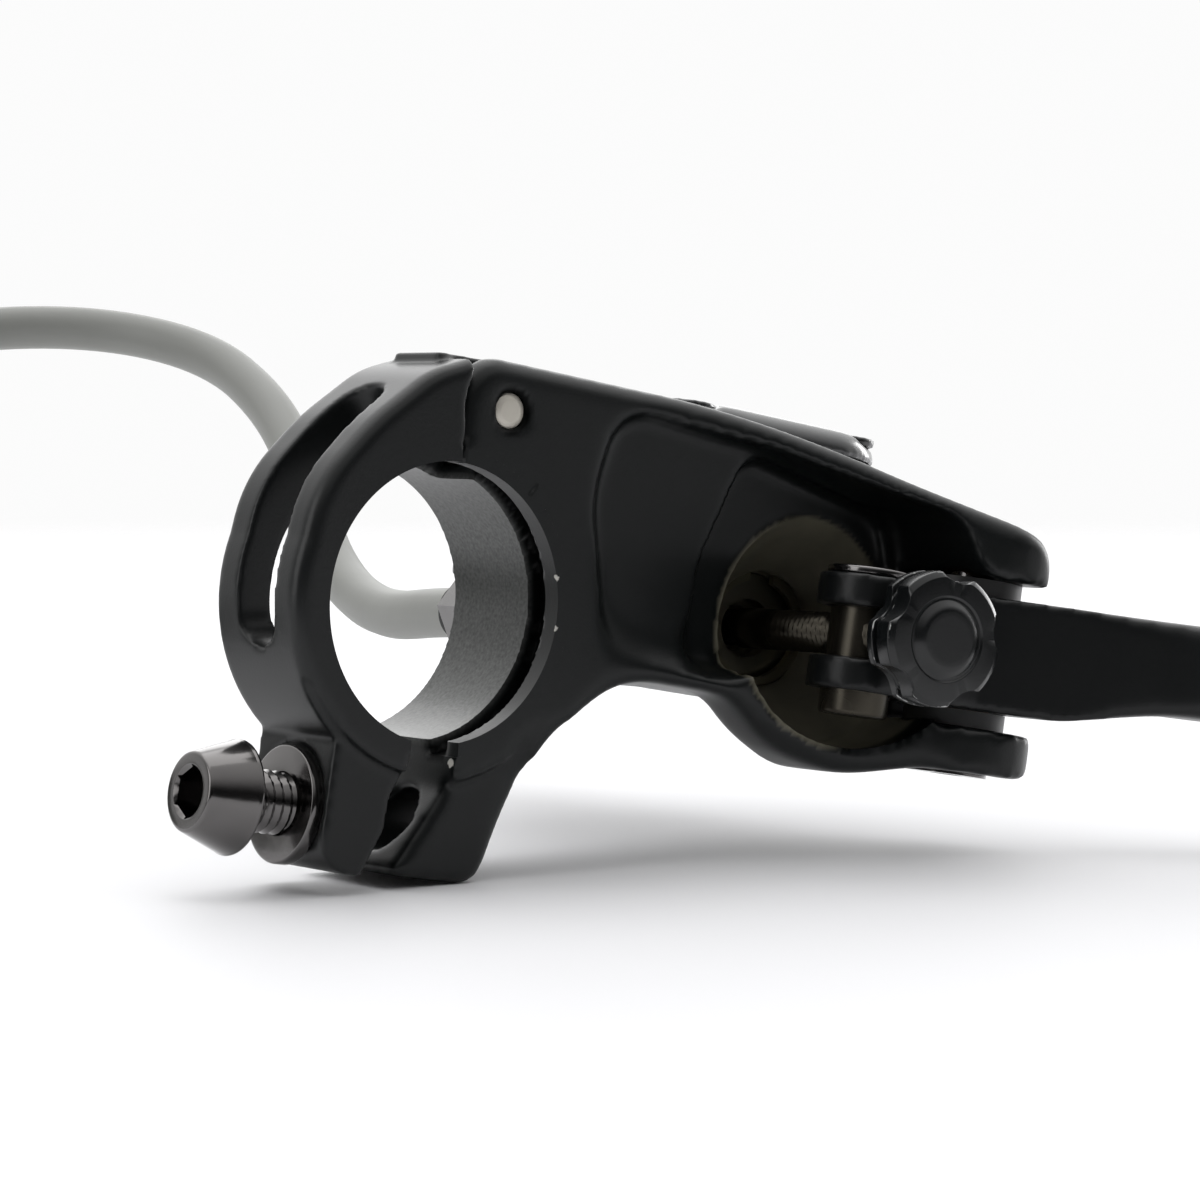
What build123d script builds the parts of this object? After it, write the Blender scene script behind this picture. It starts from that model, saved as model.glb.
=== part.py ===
from build123d import *
from math import cos, radians, sin, tan
import os

# A hydraulic disc brake lever for a 22.2 mm handlebar, in millimetres and degrees.
# The origin is the middle of the bar clamp's bore, with the bar along Y.
# The lever's pieces are drawn in the lever's own frame: X away from the bar, Y inboard
# along the bar, Z along the lever's pivot. Each is then turned nose-down by rake about the bar.

os.makedirs("parts", exist_ok=True)

# Bar clamp.
bar_diameter = 22.2
clamp_width = 14.4
rake = 10
lip_width = 1.8
groove_width = 2.2
groove_depth = 1.1
band_width = 11.9
band_thickness = 3.0
band_proud = 0.9
band_near_round = 1.2
band_far_round = 0.8
slot_width = 5.2
slot_start = 118
slot_end = 192

# Hinge between the body and the clamp band.
hinge_x = 4.0
hinge_z = 15.9
hinge_pin_diameter = 2.9
ear_radius = 4.7
knuckle_radius = 3.9
knuckle_width = 6.2
hinge_clearance = 0.35

# Clamp lugs and screw.
lug_bottom = -21.9
lug_ring_radius = 14.1
lug_set_back = 0.9
lug_set_right = 8.0
lug_set_high = 12.5
band_set_high = 14.4
band_ring_radius = 13.6
screw_y = -1.45
screw_z = -17.2
screw_diameter = 5.0
screw_head_front = -17.0
screw_head_length = 4.1
screw_head_diameter = 9.1
screw_nose_diameter = 6.4
hex_across = 3.6
washer_diameter = 9.4
washer_thickness = 1.1
band_lug_outer = -8.0
band_lug_inner = -1.6
body_lug_inner = 3.3
screw_end = -0.9
spot_depth = 0.4
edge_round = 1.6
pocket_step = 0.8

# Lever pivot, crank and blade.
pivot_x = 50.2
pivot_y = -12.2
lever_z = 3.1
pivot_ear_radius = 6.0
ear_gap = 12.6
pivot_diameter = 4.0
blade_boss_radius = 5.2
blade_height = 9.6
washer_gap = 0.05
crank_length = 12.0
crank_end_radius = 4.2
fork_gap = 4.2
barrel_diameter = 5.8
barrel_overhang = 2.0
sleeve_radius = 3.0
pin_head_low = -7.2
pin_head_height = 1.8
pin_length = 17.6
running_gap = 0.05

# Master cylinder, measured along its own axis from the barrel.
stroke_tilt = 7
piston_diameter = 8.5
piston_start = 20.0
piston_length = 15.0
piston_hollow = 6.0
piston_travel = 3.8
bore_end = 50.0
cylinder_end = 60.0
cylinder_radius = 5.9
mouth_radius = 9.5
mouth_wall = 1.9
mouth_end = 8.5
ring_start = 18.0
ring_thickness = 1.9
ring_seat = 4.9
snap_start = 16.6
snap_thickness = 0.8
snap_depth = 0.6
pushrod_diameter = 3.5
ball_radius = 1.6
cup_depth = 2.2
seal_stations = (24.0, 31.5)
seal_width = 1.8
seal_inner = 3.3
spring_radius = 2.5

# Reach knob.
knob_radius = 5.5
knob_front = -12.5
knob_length = 7.5
knob_lobes = 5

# Fluid reservoir.
reservoir_low_x = 27.0
reservoir_high_x = 54.5
reservoir_low_y = 1.5
reservoir_high_y = 37.0
reservoir_floor = 10.0
reservoir_top = 18.4
reservoir_corner = 8.5
lid_thickness = 2.4
lid_round = 2.2
hollow_length_x = 22.5
hollow_length_y = 21.8
hollow_corner = 4.0
bladder_flange = 0.8
lid_screw_diameter = 3.0
lid_screw_depth = 7.0
lid_screw_inset_x = 4.6
lid_screw_inset_y = 4.2
lid_head_radius = 2.1
bleed_diameter = 5.0
bleed_ring = 0.9
bleed_z = 13.6

# Hose and its fittings.
hose_diameter = 5.0
hose_bore = 2.4
port_radius = 4.0
port_depth = 8.0
olive_length = 3.0
barb_length = 9.0
nut_length = 6.0
nut_across = 9.0
boot_length = 4.0
boot_radius = 3.7
coil_diameter = 60.0
coil_layers = 4
coil_x = -44.0
coil_y = 104.0
floor_z = -22.3
tail_length = 28.0
ferrule_diameter = 7.5
ferrule_length = 11.0
ferrule_grip = 8.0
banjo_bore = 6.1
banjo_diameter = 12.0
banjo_height = 7.0
banjo_reach = 9.0

bore_radius = bar_diameter / 2
near_y = -clamp_width / 2
far_y = clamp_width / 2
band_near_y = near_y - band_proud
band_mid_y = band_near_y + band_width / 2
barrel_x = pivot_x - crank_length
barrel_y = pivot_y - 0.8
gap_low = lever_z - ear_gap / 2
gap_high = lever_z + ear_gap / 2
blade_low = lever_z - blade_height / 2
blade_high = lever_z + blade_height / 2
piston_bore = piston_diameter / 2 + running_gap
stroke = Vector(sin(radians(stroke_tilt)), cos(radians(stroke_tilt)), 0)
reservoir_mid_x = (reservoir_low_x + reservoir_high_x) / 2
reservoir_mid_y = (reservoir_low_y + reservoir_high_y) / 2
bleed_depth = (reservoir_high_y - reservoir_low_y - hollow_length_y) / 2
lid_screw_places = [
    (x, y)
    for x in (reservoir_low_x + lid_screw_inset_x, reservoir_high_x - lid_screw_inset_x)
    for y in (reservoir_low_y + lid_screw_inset_y, reservoir_high_y - lid_screw_inset_y)
]
across = Vector(cos(radians(stroke_tilt)), -sin(radians(stroke_tilt)), 0)


def points(corners):
    return [(a, b) for a, b, _ in corners]


def radii(corners):
    return [r for _, _, r in corners]


def side(y):
    # A plane across the bar at y, seen from outboard. Its normal points outboard.
    return Plane.XZ.offset(-y)


def level(z):
    return Plane.XY.offset(z)


def station(s):
    # A plane square to the master cylinder's axis, s along it from the barrel's middle.
    return Plane(origin=Vector(barrel_x, barrel_y, lever_z) + stroke * s, x_dir=across, z_dir=stroke)


def lug_plane(x):
    # A plane square to the clamp screw, which points away from the rider at x.
    return Plane(origin=(x, screw_y, screw_z), x_dir=(0, 1, 0), z_dir=(1, 0, 0))


def save(piece, name):
    piece.part.label = name
    turned = piece.part.rotate(Axis.Y, rake)
    turned.label = name
    export_step(turned, f"parts/{name}.step")


def save_level(piece, name):
    piece.part.label = name
    export_step(piece.part, f"parts/{name}.step")


# Master body: one casting that holds the clamp's fixed half, the pivot ears, the master
# cylinder and the reservoir.
body_right = pivot_x + pivot_ear_radius
body_side = [
    (body_lug_inner, -9, 0),
    (hinge_x - ear_radius, 8, 0),
    (hinge_x - ear_radius, 19.9, 3.6),
    (29, 19.9, 80),
    (body_right - 1.6, 13.1, 3.5),
    (body_right - 1.6, lever_z, 0),
    (body_right, lever_z, 0),
    (body_right, -6.9, 2.6),
    (45.5, -7.0, 10),
    (38.5, -9.2, 7),
    (29, -3.5, 6),
    (19.5, -3.4, 9),
    (11.8, -9.4, 12),
    (8.0, lug_bottom + 0.3, 3.2),
    (body_lug_inner - 4.1, lug_bottom + 0.3, 0.5),
    (body_lug_inner - 3.0, screw_z - 2.5, 2),
    (body_lug_inner, screw_z + 2.9, 0.8),
]
body_plan = [
    (-6, near_y, 0),
    (31, near_y, 58),
    (pivot_x - 0.5, pivot_y - pivot_ear_radius, 5),
    (body_right, pivot_y - pivot_ear_radius, 4.5),
    (body_right, -7, 6),
    (51.5, 3, 6),
    (49.5, 9.5, 3),
    (27, 10.5, 10),
    (15, far_y, 8),
    (-6, far_y, 0),
]
pocket_side = [
    (14.6, 18.2, 4),
    (13.1, 10.5, 9),
    (16.3, -1.2, 5),
    (27.5, -2.2, 4),
    (33, -1.0, 0),
    (46, gap_low, 0),
    (49, gap_low, 0),
    (49, gap_high, 0),
    (47.4, gap_high + 0.4, 2),
    (45.4, 14.2, 3),
    (30, 17.2, 10),
]
deep_side = [
    (29, 16.9, 3),
    (25.4, 7, 8),
    (25.2, -1.6, 2),
    (33, -1.0, 0),
    (45, -1.0, 0),
    (47, gap_high, 2),
    (45.2, 13.9, 3),
]
bore_step_y = near_y + lip_width
slot_low_y = screw_y - knuckle_width / 2 - hinge_clearance
slot_high_y = screw_y + knuckle_width / 2 + hinge_clearance
with BuildPart() as master_body:
    with BuildSketch(side(-30)):
        with BuildLine():
            FilletPolyline(points(body_side), radius=radii(body_side), close=True)
        make_face()
    extrude(amount=-60)
    with BuildSketch(level(-40)):
        with BuildLine():
            FilletPolyline(points(body_plan), radius=radii(body_plan), close=True)
        make_face()
    extrude(amount=80, mode=Mode.INTERSECT)
    # Underside relief behind the pivot ear.
    with BuildSketch(level(-40)):
        with Locations((48, 13.5)):
            Rectangle(48, 33)
    extrude(amount=40 - 3.3, mode=Mode.SUBTRACT)
    # Soft upper edge of the outboard face, from the hinge ear to the pivot ear.
    upper_edges = master_body.edges().filter_by(
        lambda e: e.bounding_box().max.Y < near_y + 0.05
        and e.bounding_box().min.Z > gap_high + 0.7
        and e.bounding_box().size.X > 0.01
    )
    fillet(upper_edges, edge_round)
    # Cylinder: a wide mouth that tapers to the plain barrel.
    with BuildSketch(station(3.0)):
        Circle(mouth_radius + mouth_wall)
    extrude(amount=mouth_end - 3.0)
    with BuildSketch(station(mouth_end)):
        Circle(mouth_radius + mouth_wall)
    with BuildSketch(station(mouth_end + 9)):
        Circle(cylinder_radius + 0.9)
    loft()
    with BuildSketch(station(mouth_end + 9)):
        Circle(cylinder_radius + 0.9)
    with BuildSketch(station(mouth_end + 18)):
        Circle(cylinder_radius)
    loft()
    with BuildSketch(station(mouth_end + 18)):
        Circle(cylinder_radius)
    extrude(amount=cylinder_end - mouth_end - 18)
    # Reservoir tub over the cylinder.
    with BuildSketch(level(5)):
        with Locations((reservoir_mid_x, reservoir_mid_y)):
            RectangleRounded(
                reservoir_high_x - reservoir_low_x, reservoir_high_y - reservoir_low_y, reservoir_corner
            )
    extrude(amount=reservoir_top - 5)
    # Seat for the lid, cut down into the beam behind its outboard face.
    with BuildSketch(level(reservoir_top)):
        with Locations((reservoir_mid_x, reservoir_mid_y)):
            RectangleRounded(
                reservoir_high_x - reservoir_low_x + 0.6,
                reservoir_high_y - reservoir_low_y + 0.6,
                reservoir_corner + 0.3,
            )
    extrude(amount=20, mode=Mode.SUBTRACT)
    # Bore for the bar, with a relief groove between the near lip and the saddle.
    with BuildSketch(side(-20)):
        Circle(bore_radius)
    extrude(amount=-40, mode=Mode.SUBTRACT)
    with BuildSketch(side(bore_step_y)):
        Circle(bore_radius + groove_depth)
    extrude(amount=-groove_width, mode=Mode.SUBTRACT)
    # Slot for the band's knuckle, open upwards so that the band can swing.
    with BuildSketch(side(slot_low_y)):
        with Locations((hinge_x, hinge_z)):
            Circle(knuckle_radius + hinge_clearance)
        with Locations((hinge_x - 1, hinge_z + 5)):
            Rectangle(2 * (knuckle_radius + hinge_clearance) + 2, 10)
        with Locations((hinge_x - 5, hinge_z - 3)):
            Rectangle(10, 12)
    extrude(amount=-(slot_high_y - slot_low_y), mode=Mode.SUBTRACT)
    with BuildSketch(side(-20)):
        with Locations((hinge_x, hinge_z)):
            Circle(hinge_pin_diameter / 2)
    extrude(amount=-40, mode=Mode.SUBTRACT)
    # The lug's outboard face, set back from the ring round the bore.
    with BuildSketch(side(near_y - 1)):
        with Locations((3, lug_bottom)):
            Rectangle(2 * lug_set_right, 2 * lug_set_high)
        Circle(lug_ring_radius, mode=Mode.SUBTRACT)
    extrude(amount=-(1 + lug_set_back), mode=Mode.SUBTRACT)
    # Hole for the clamp screw.
    with BuildSketch(lug_plane(0)):
        Circle(screw_diameter / 2 + running_gap)
    extrude(amount=15, mode=Mode.SUBTRACT)
    # Pocket for the crank, in two depths, and the gap between the pivot ears.
    with BuildSketch(side(-30)):
        with BuildLine():
            FilletPolyline(points(pocket_side), radius=radii(pocket_side), close=True)
        make_face()
    extrude(amount=-(30 + near_y + pocket_step), mode=Mode.SUBTRACT)
    with BuildSketch(side(-30)):
        with BuildLine():
            FilletPolyline(points(deep_side), radius=radii(deep_side), close=True)
        make_face()
    extrude(amount=-25.5, mode=Mode.SUBTRACT)
    with BuildSketch(level(gap_low)):
        with Locations((pivot_x, pivot_y)):
            Circle(blade_boss_radius + 1.0)
        with Locations((pivot_x + 5, pivot_y - 10)):
            Rectangle(24, 22)
    extrude(amount=ear_gap, mode=Mode.SUBTRACT)
    # Machined mouth, ring seats and piston bore.
    with BuildSketch(station(-14)):
        Circle(mouth_radius)
    extrude(amount=14 + mouth_end, mode=Mode.SUBTRACT)
    with BuildSketch(station(mouth_end)):
        Circle(mouth_radius)
    with BuildSketch(station(snap_start - 0.6)):
        Circle(ring_seat)
    loft(mode=Mode.SUBTRACT)
    with BuildSketch(station(snap_start - 0.6)):
        Circle(ring_seat)
    extrude(amount=ring_start + ring_thickness - snap_start + 0.6, mode=Mode.SUBTRACT)
    with BuildSketch(station(snap_start)):
        Circle(ring_seat + snap_depth)
    extrude(amount=snap_thickness, mode=Mode.SUBTRACT)
    with BuildSketch(station(ring_start)):
        Circle(piston_bore)
    extrude(amount=bore_end - ring_start, mode=Mode.SUBTRACT)
    with BuildSketch(station(bore_end)):
        Circle(hose_bore / 2)
    extrude(amount=cylinder_end - bore_end, mode=Mode.SUBTRACT)
    # Pivot pin's hole, with a seat for its head below.
    with BuildSketch(level(-12)):
        with Locations((pivot_x, pivot_y)):
            Circle(pivot_diameter / 2)
    extrude(amount=12 + 12.2, mode=Mode.SUBTRACT)
    with BuildSketch(level(-12)):
        with Locations((pivot_x, pivot_y)):
            Circle(3.5)
    extrude(amount=12 - 5.4, mode=Mode.SUBTRACT)

    # Reservoir hollow, with a refill port down to the bore just ahead of the resting piston.
    refill_port = station(piston_start + piston_length + 0.8).origin
    with BuildSketch(level(reservoir_floor)):
        with Locations((reservoir_mid_x, reservoir_mid_y)):
            RectangleRounded(hollow_length_x, hollow_length_y, hollow_corner)
    extrude(amount=reservoir_top - reservoir_floor, mode=Mode.SUBTRACT)
    with BuildSketch(level(lever_z)):
        with Locations((refill_port.X, refill_port.Y)):
            Circle(0.6)
    extrude(amount=reservoir_floor - lever_z, mode=Mode.SUBTRACT)
    with BuildSketch(level(reservoir_top)):
        with Locations(*lid_screw_places):
            Circle(lid_screw_diameter / 2)
    extrude(amount=-lid_screw_depth, mode=Mode.SUBTRACT)
    # Threaded port for the hose nut.
    with BuildSketch(station(cylinder_end - port_depth)):
        Circle(port_radius)
    extrude(amount=port_depth, mode=Mode.SUBTRACT)
    # Bleed screw's port in the inboard end of the reservoir.
    with BuildSketch(side(reservoir_high_y - bleed_depth)):
        with Locations((reservoir_mid_x, bleed_z)):
            Circle(bleed_diameter / 2)
    extrude(amount=-bleed_depth, mode=Mode.SUBTRACT)
save(master_body, "master_body")

# Hinge pin: pressed into both ears, and the band turns on its middle.
with BuildPart() as hinge_pin:
    with BuildSketch(side(near_y + 0.3)):
        with Locations((hinge_x, hinge_z)):
            Circle(hinge_pin_diameter / 2)
    extrude(amount=-(clamp_width - 0.6))
    chamfer(hinge_pin.edges().filter_by(GeomType.CIRCLE), 0.25)
save(hinge_pin, "hinge_pin")

# Clamp band: half the bore, a slotted strap, a knuckle for the hinge and a lug for the screw.
band_outer = bore_radius + band_thickness
band_shoulder_x = -0.7
band_shoulder = [
    (-0.989 * band_outer, 1, 0),
    (-13.3, 7.6, 12),
    (-9.0, 13.3, 20),
    (-4.2, 17.8, 9),
    (band_shoulder_x, 19.3, 0),
    (band_shoulder_x, 8.0, 0),
    (-6, 5, 0),
]
with BuildPart() as clamp_band:
    with BuildSketch(side(band_near_y)) as band_face:
        Circle(band_outer)
        with BuildLine():
            FilletPolyline(points(band_shoulder), radius=radii(band_shoulder), close=True)
        make_face()
        with BuildLine():
            Polyline(
                (band_lug_inner, -8),
                (band_lug_inner, -14),
                (band_lug_inner - 0.7, -15.4),
                (band_lug_inner - 0.8, screw_z - 1),
                (band_lug_inner - 2.4, lug_bottom),
                (band_lug_outer, lug_bottom),
                (band_lug_outer, -11.6),
                (-10.4, -7),
                close=True,
            )
        make_face()
        with Locations((20 + band_lug_inner, -30)):
            Rectangle(40, 60, mode=Mode.SUBTRACT)
        with Locations((20 + band_shoulder_x, 30)):
            Rectangle(40, 60, mode=Mode.SUBTRACT)
        fillet(band_face.vertices().group_by(Axis.Y)[0].sort_by(Axis.X)[0], 3.0)
        fillet(band_face.vertices().group_by(Axis.Y)[0].sort_by(Axis.X)[-1], 0.6)
        with Locations((hinge_x, hinge_z)):
            Circle(ear_radius + hinge_clearance, mode=Mode.SUBTRACT)
        Circle(bore_radius, mode=Mode.SUBTRACT)
    extrude(amount=-band_width)
    for rim_y, rim_round in ((band_near_y, band_near_round), (band_near_y + band_width, band_far_round)):
        rim = clamp_band.edges().filter_by(
            lambda e: abs((e @ 0.5).Y - rim_y) < 0.01
            and e.bounding_box().size.Y < 0.01
            and (e @ 0.5).X < band_lug_outer + 0.1 + (e @ 0.5).Z / 3
            and Vector((e @ 0.5).X, 0, (e @ 0.5).Z).length > bore_radius + 1
        )
        fillet(rim, rim_round)
    # The lug's outboard face, set back from the ring round the bore.
    with BuildSketch(side(band_near_y - 1)):
        with Locations((band_lug_outer, lug_bottom)):
            Rectangle(2 * lug_set_right, 2 * band_set_high)
        Circle(band_ring_radius, mode=Mode.SUBTRACT)
    extrude(amount=-(1 + lug_set_back), mode=Mode.SUBTRACT)
    # Knuckle and its neck.
    with BuildSketch(side(screw_y - knuckle_width / 2)):
        with Locations((hinge_x, hinge_z)):
            Circle(knuckle_radius)
        with BuildLine():
            Polyline(
                (hinge_x, hinge_z + knuckle_radius),
                (-2, hinge_z + knuckle_radius - 0.2),
                (-2, hinge_z - 4.6),
                (0.4, hinge_z - 4.2),
                (hinge_x, hinge_z - knuckle_radius),
                close=True,
            )
        make_face()
        Circle(bore_radius, mode=Mode.SUBTRACT)
    extrude(amount=-knuckle_width)
    with BuildSketch(side(-20)):
        with Locations((hinge_x, hinge_z)):
            Circle(hinge_pin_diameter / 2 + running_gap)
    extrude(amount=-40, mode=Mode.SUBTRACT)
    # Long slot round the strap, with round ends.
    with BuildSketch(side(band_mid_y - slot_width / 2)):
        with BuildLine():
            Polyline(
                (0, 0),
                (30 * cos(radians(slot_start)), 30 * sin(radians(slot_start))),
                (-45, 20),
                (30 * cos(radians(slot_end)), 30 * sin(radians(slot_end))),
                close=True,
            )
        make_face()
    extrude(amount=-slot_width, mode=Mode.SUBTRACT)
    for angle in (slot_start, slot_end):
        outward = Vector(cos(radians(angle)), 0, sin(radians(angle)))
        with BuildSketch(Plane(origin=(0, band_mid_y, 0), x_dir=(0, 1, 0), z_dir=outward)):
            Circle(slot_width / 2)
        extrude(amount=30, mode=Mode.SUBTRACT)
    # Screw hole and the washer's seat.
    with BuildSketch(lug_plane(-15)):
        Circle(screw_diameter / 2 + running_gap)
    extrude(amount=16, mode=Mode.SUBTRACT)
    with BuildSketch(lug_plane(band_lug_outer + spot_depth)):
        Circle(washer_diameter / 2 + 0.35)
    extrude(amount=-6, mode=Mode.SUBTRACT)
save(clamp_band, "clamp_band")

# Washer under the clamp screw's head.
washer_seat = band_lug_outer + spot_depth
with BuildPart() as clamp_washer:
    with BuildSketch(lug_plane(washer_seat)):
        Circle(washer_diameter / 2)
        Circle(screw_diameter / 2 + running_gap, mode=Mode.SUBTRACT)
    extrude(amount=-washer_thickness)
    chamfer(clamp_washer.faces().sort_by(Axis.X)[0].edges().sort_by(SortBy.LENGTH)[-1], 0.25)
save(clamp_washer, "clamp_washer")

# Clamp screw: a tapered head with a hex socket, backed out as it is when the band opens.
with BuildPart() as clamp_bolt:
    with BuildSketch(lug_plane(screw_head_front)):
        Circle(screw_nose_diameter / 2)
    with BuildSketch(lug_plane(screw_head_front + screw_head_length - 0.5)):
        Circle(screw_head_diameter / 2)
    loft()
    with BuildSketch(lug_plane(screw_head_front + screw_head_length - 0.5)):
        Circle(screw_head_diameter / 2)
    extrude(amount=0.5)
    with BuildSketch(lug_plane(screw_head_front + screw_head_length)):
        Circle(screw_diameter / 2)
    extrude(amount=screw_end - screw_head_front - screw_head_length)
    chamfer(clamp_bolt.faces().sort_by(Axis.X)[-1].edges(), 0.5)
    with BuildSketch(lug_plane(screw_head_front)):
        RegularPolygon(hex_across / 2, 6, major_radius=False)
    extrude(amount=2.6, mode=Mode.SUBTRACT)
save(clamp_bolt, "clamp_bolt")

# Lever blade: a boss on the pivot, a forked crank inward and a two-finger blade outward.
blade_plan = [
    (pivot_x + 1.5, pivot_y + 5.0, 0),
    (57.5, -14.8, 9),
    (67, -21.5, 12),
    (75.5, -33, 25),
    (79.5, -52, 60),
    (80.5, -76, 20),
    (88, -93, 0),
    (84, -96.5, 0),
    (75.5, -82, 22),
    (73.8, -54, 60),
    (69.8, -37.5, 25),
    (61.5, -26.5, 12),
    (53.5, -21.0, 6),
    (pivot_x - 3, pivot_y - 4.4, 0),
]
blade_side = [
    (20, blade_low, 0),
    (54, blade_low, 8),
    (62, 0.1, 12),
    (100, 0.6, 0),
    (100, 8.0, 0),
    (64, 8.0, 12),
    (57, blade_high, 12),
    (20, blade_high, 0),
]
with BuildPart() as lever_blade:
    with BuildSketch(level(-10)):
        with Locations((pivot_x, pivot_y)):
            Circle(blade_boss_radius)
        with BuildLine():
            FilletPolyline(points(blade_plan), radius=radii(blade_plan), close=True)
        make_face()
        with Locations((86, -94.75)):
            Circle(2.7)
    extrude(amount=30)
    with BuildSketch(level(-10)):
        with Locations((barrel_x, barrel_y)):
            Circle(crank_end_radius)
        with BuildLine():
            Polyline(
                (barrel_x, barrel_y + crank_end_radius),
                (pivot_x, pivot_y + blade_boss_radius - 0.4),
                (pivot_x, pivot_y - blade_boss_radius + 0.4),
                (barrel_x, barrel_y - crank_end_radius),
                close=True,
            )
        make_face()
    extrude(amount=30)
    with BuildSketch(side(-120)):
        with BuildLine():
            FilletPolyline(points(blade_side), radius=radii(blade_side), close=True)
        make_face()
    extrude(amount=-160, mode=Mode.INTERSECT)
    # Fork for the barrel.
    with BuildSketch(side(-40)):
        with Locations((barrel_x - 2, lever_z)):
            Rectangle(17, fork_gap)
    extrude(amount=-60, mode=Mode.SUBTRACT)
    with BuildSketch(level(-10)):
        with Locations((barrel_x, barrel_y)):
            Circle(barrel_diameter / 2 + running_gap)
        with Locations((pivot_x, pivot_y)):
            Circle(sleeve_radius + running_gap)
    extrude(amount=30, mode=Mode.SUBTRACT)
save(lever_blade, "lever_blade")

# Pivot: a pin fixed in the ears, a sleeve that the lever turns on, and a washer each side.
with BuildPart() as pivot_pin:
    with BuildSketch(level(pin_head_low)):
        with Locations((pivot_x, pivot_y)):
            Circle(3.4)
    extrude(amount=pin_head_height)
    with BuildSketch(level(pin_head_low + pin_head_height)):
        with Locations((pivot_x, pivot_y)):
            Circle(pivot_diameter / 2 - 0.01)
    extrude(amount=pin_length)
    with BuildSketch(level(pin_head_low)):
        with Locations((pivot_x, pivot_y)):
            RegularPolygon(1.25, 6, major_radius=False)
    extrude(amount=pin_head_height - 0.4, mode=Mode.SUBTRACT)
save(pivot_pin, "pivot_pin")

with BuildPart() as pivot_sleeve:
    with BuildSketch(level(gap_low + 0.05)):
        with Locations((pivot_x, pivot_y)):
            Circle(sleeve_radius)
            Circle(pivot_diameter / 2 + 0.02, mode=Mode.SUBTRACT)
    extrude(amount=ear_gap - 0.1)
save(pivot_sleeve, "pivot_sleeve")

washer_height = (ear_gap - blade_height) / 2 - 2 * washer_gap
with BuildPart() as pivot_washers:
    for low in (gap_low + washer_gap, blade_high + washer_gap):
        with BuildSketch(level(low)):
            with Locations((pivot_x, pivot_y)):
                Circle(4.3)
                Circle(sleeve_radius + running_gap, mode=Mode.SUBTRACT)
        extrude(amount=washer_height)
save(pivot_washers, "pivot_washers")

# Barrel: the cross pin in the fork that the push-rod screws through.
barrel_low = blade_low - barrel_overhang
with BuildPart() as barrel_pin:
    with BuildSketch(level(barrel_low)):
        with Locations((barrel_x, barrel_y)):
            Circle(barrel_diameter / 2)
    extrude(amount=blade_high - barrel_low)
    chamfer(barrel_pin.edges().filter_by(GeomType.CIRCLE), 0.3)
    with BuildSketch(station(-8)):
        Circle(pushrod_diameter / 2 + running_gap)
    extrude(amount=16, mode=Mode.SUBTRACT)
save(barrel_pin, "barrel_pin")

with BuildPart() as barrel_clip:
    with BuildSketch(level(blade_high + 0.05)):
        with Locations((barrel_x, barrel_y)):
            Circle(3.6)
    extrude(amount=0.6)
save(barrel_clip, "barrel_clip")

# Push-rod: it screws through the barrel and ends in a ball in the piston.
ball_station = piston_start + cup_depth - ball_radius - 0.1
neck_station = piston_start - 1.5
with BuildPart() as pushrod:
    with BuildSketch(station(knob_front + knob_length - 1.0)):
        Circle(pushrod_diameter / 2)
    extrude(amount=neck_station - knob_front - knob_length + 1.0)
    with BuildSketch(station(neck_station)):
        Circle(1.2)
    extrude(amount=ball_station - neck_station)
    with Locations(station(ball_station).origin):
        Sphere(ball_radius)
save(pushrod, "pushrod")

# Reach knob: two scalloped flanges with a domed face, fixed on the push-rod's end.
with BuildPart() as reach_knob:
    with BuildSketch(station(knob_front + 0.5)):
        Circle(knob_radius)
    extrude(amount=2.0)
    with BuildSketch(station(knob_front + 2.5)):
        Circle(knob_radius - 0.5)
    extrude(amount=0.5)
    with BuildSketch(station(knob_front + 3.0)):
        Circle(knob_radius)
    extrude(amount=0.9)
    with BuildSketch(station(knob_front + 3.9)):
        Circle(2.9)
    extrude(amount=knob_length - 3.9)
    front_edge = reach_knob.faces().sort_by(Axis.Y)[0].edges()
    chamfer(front_edge, 0.5)
    with BuildSketch(station(knob_front)):
        Circle(3.0)
    with BuildSketch(station(knob_front + 0.6)):
        Circle(3.3)
    loft()
    with BuildSketch(station(knob_front - 1)):
        with PolarLocations(knob_radius + 1.5, knob_lobes, start_angle=-12):
            Circle(2.35)
    extrude(amount=5.2, mode=Mode.SUBTRACT)
    with BuildSketch(station(knob_front + knob_length - 1.0)):
        Circle(pushrod_diameter / 2 + 0.02)
    extrude(amount=3, mode=Mode.SUBTRACT)
save(reach_knob, "reach_knob")

# Ring and snap ring that keep the piston in.
with BuildPart() as stop_ring:
    with BuildSketch(station(ring_start + 0.05)):
        Circle(ring_seat - running_gap)
        Circle(2.55, mode=Mode.SUBTRACT)
    extrude(amount=ring_thickness - 0.1)
save(stop_ring, "stop_ring")

with BuildPart() as cylinder_snap_ring:
    with BuildSketch(station(snap_start + 0.05)):
        Circle(ring_seat + snap_depth - running_gap)
        Circle(4.2, mode=Mode.SUBTRACT)
        with Locations((0, -5)):
            Rectangle(2.4, 5, mode=Mode.SUBTRACT)
    extrude(amount=snap_thickness - 0.1)
save(cylinder_snap_ring, "cylinder_snap_ring")

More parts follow.
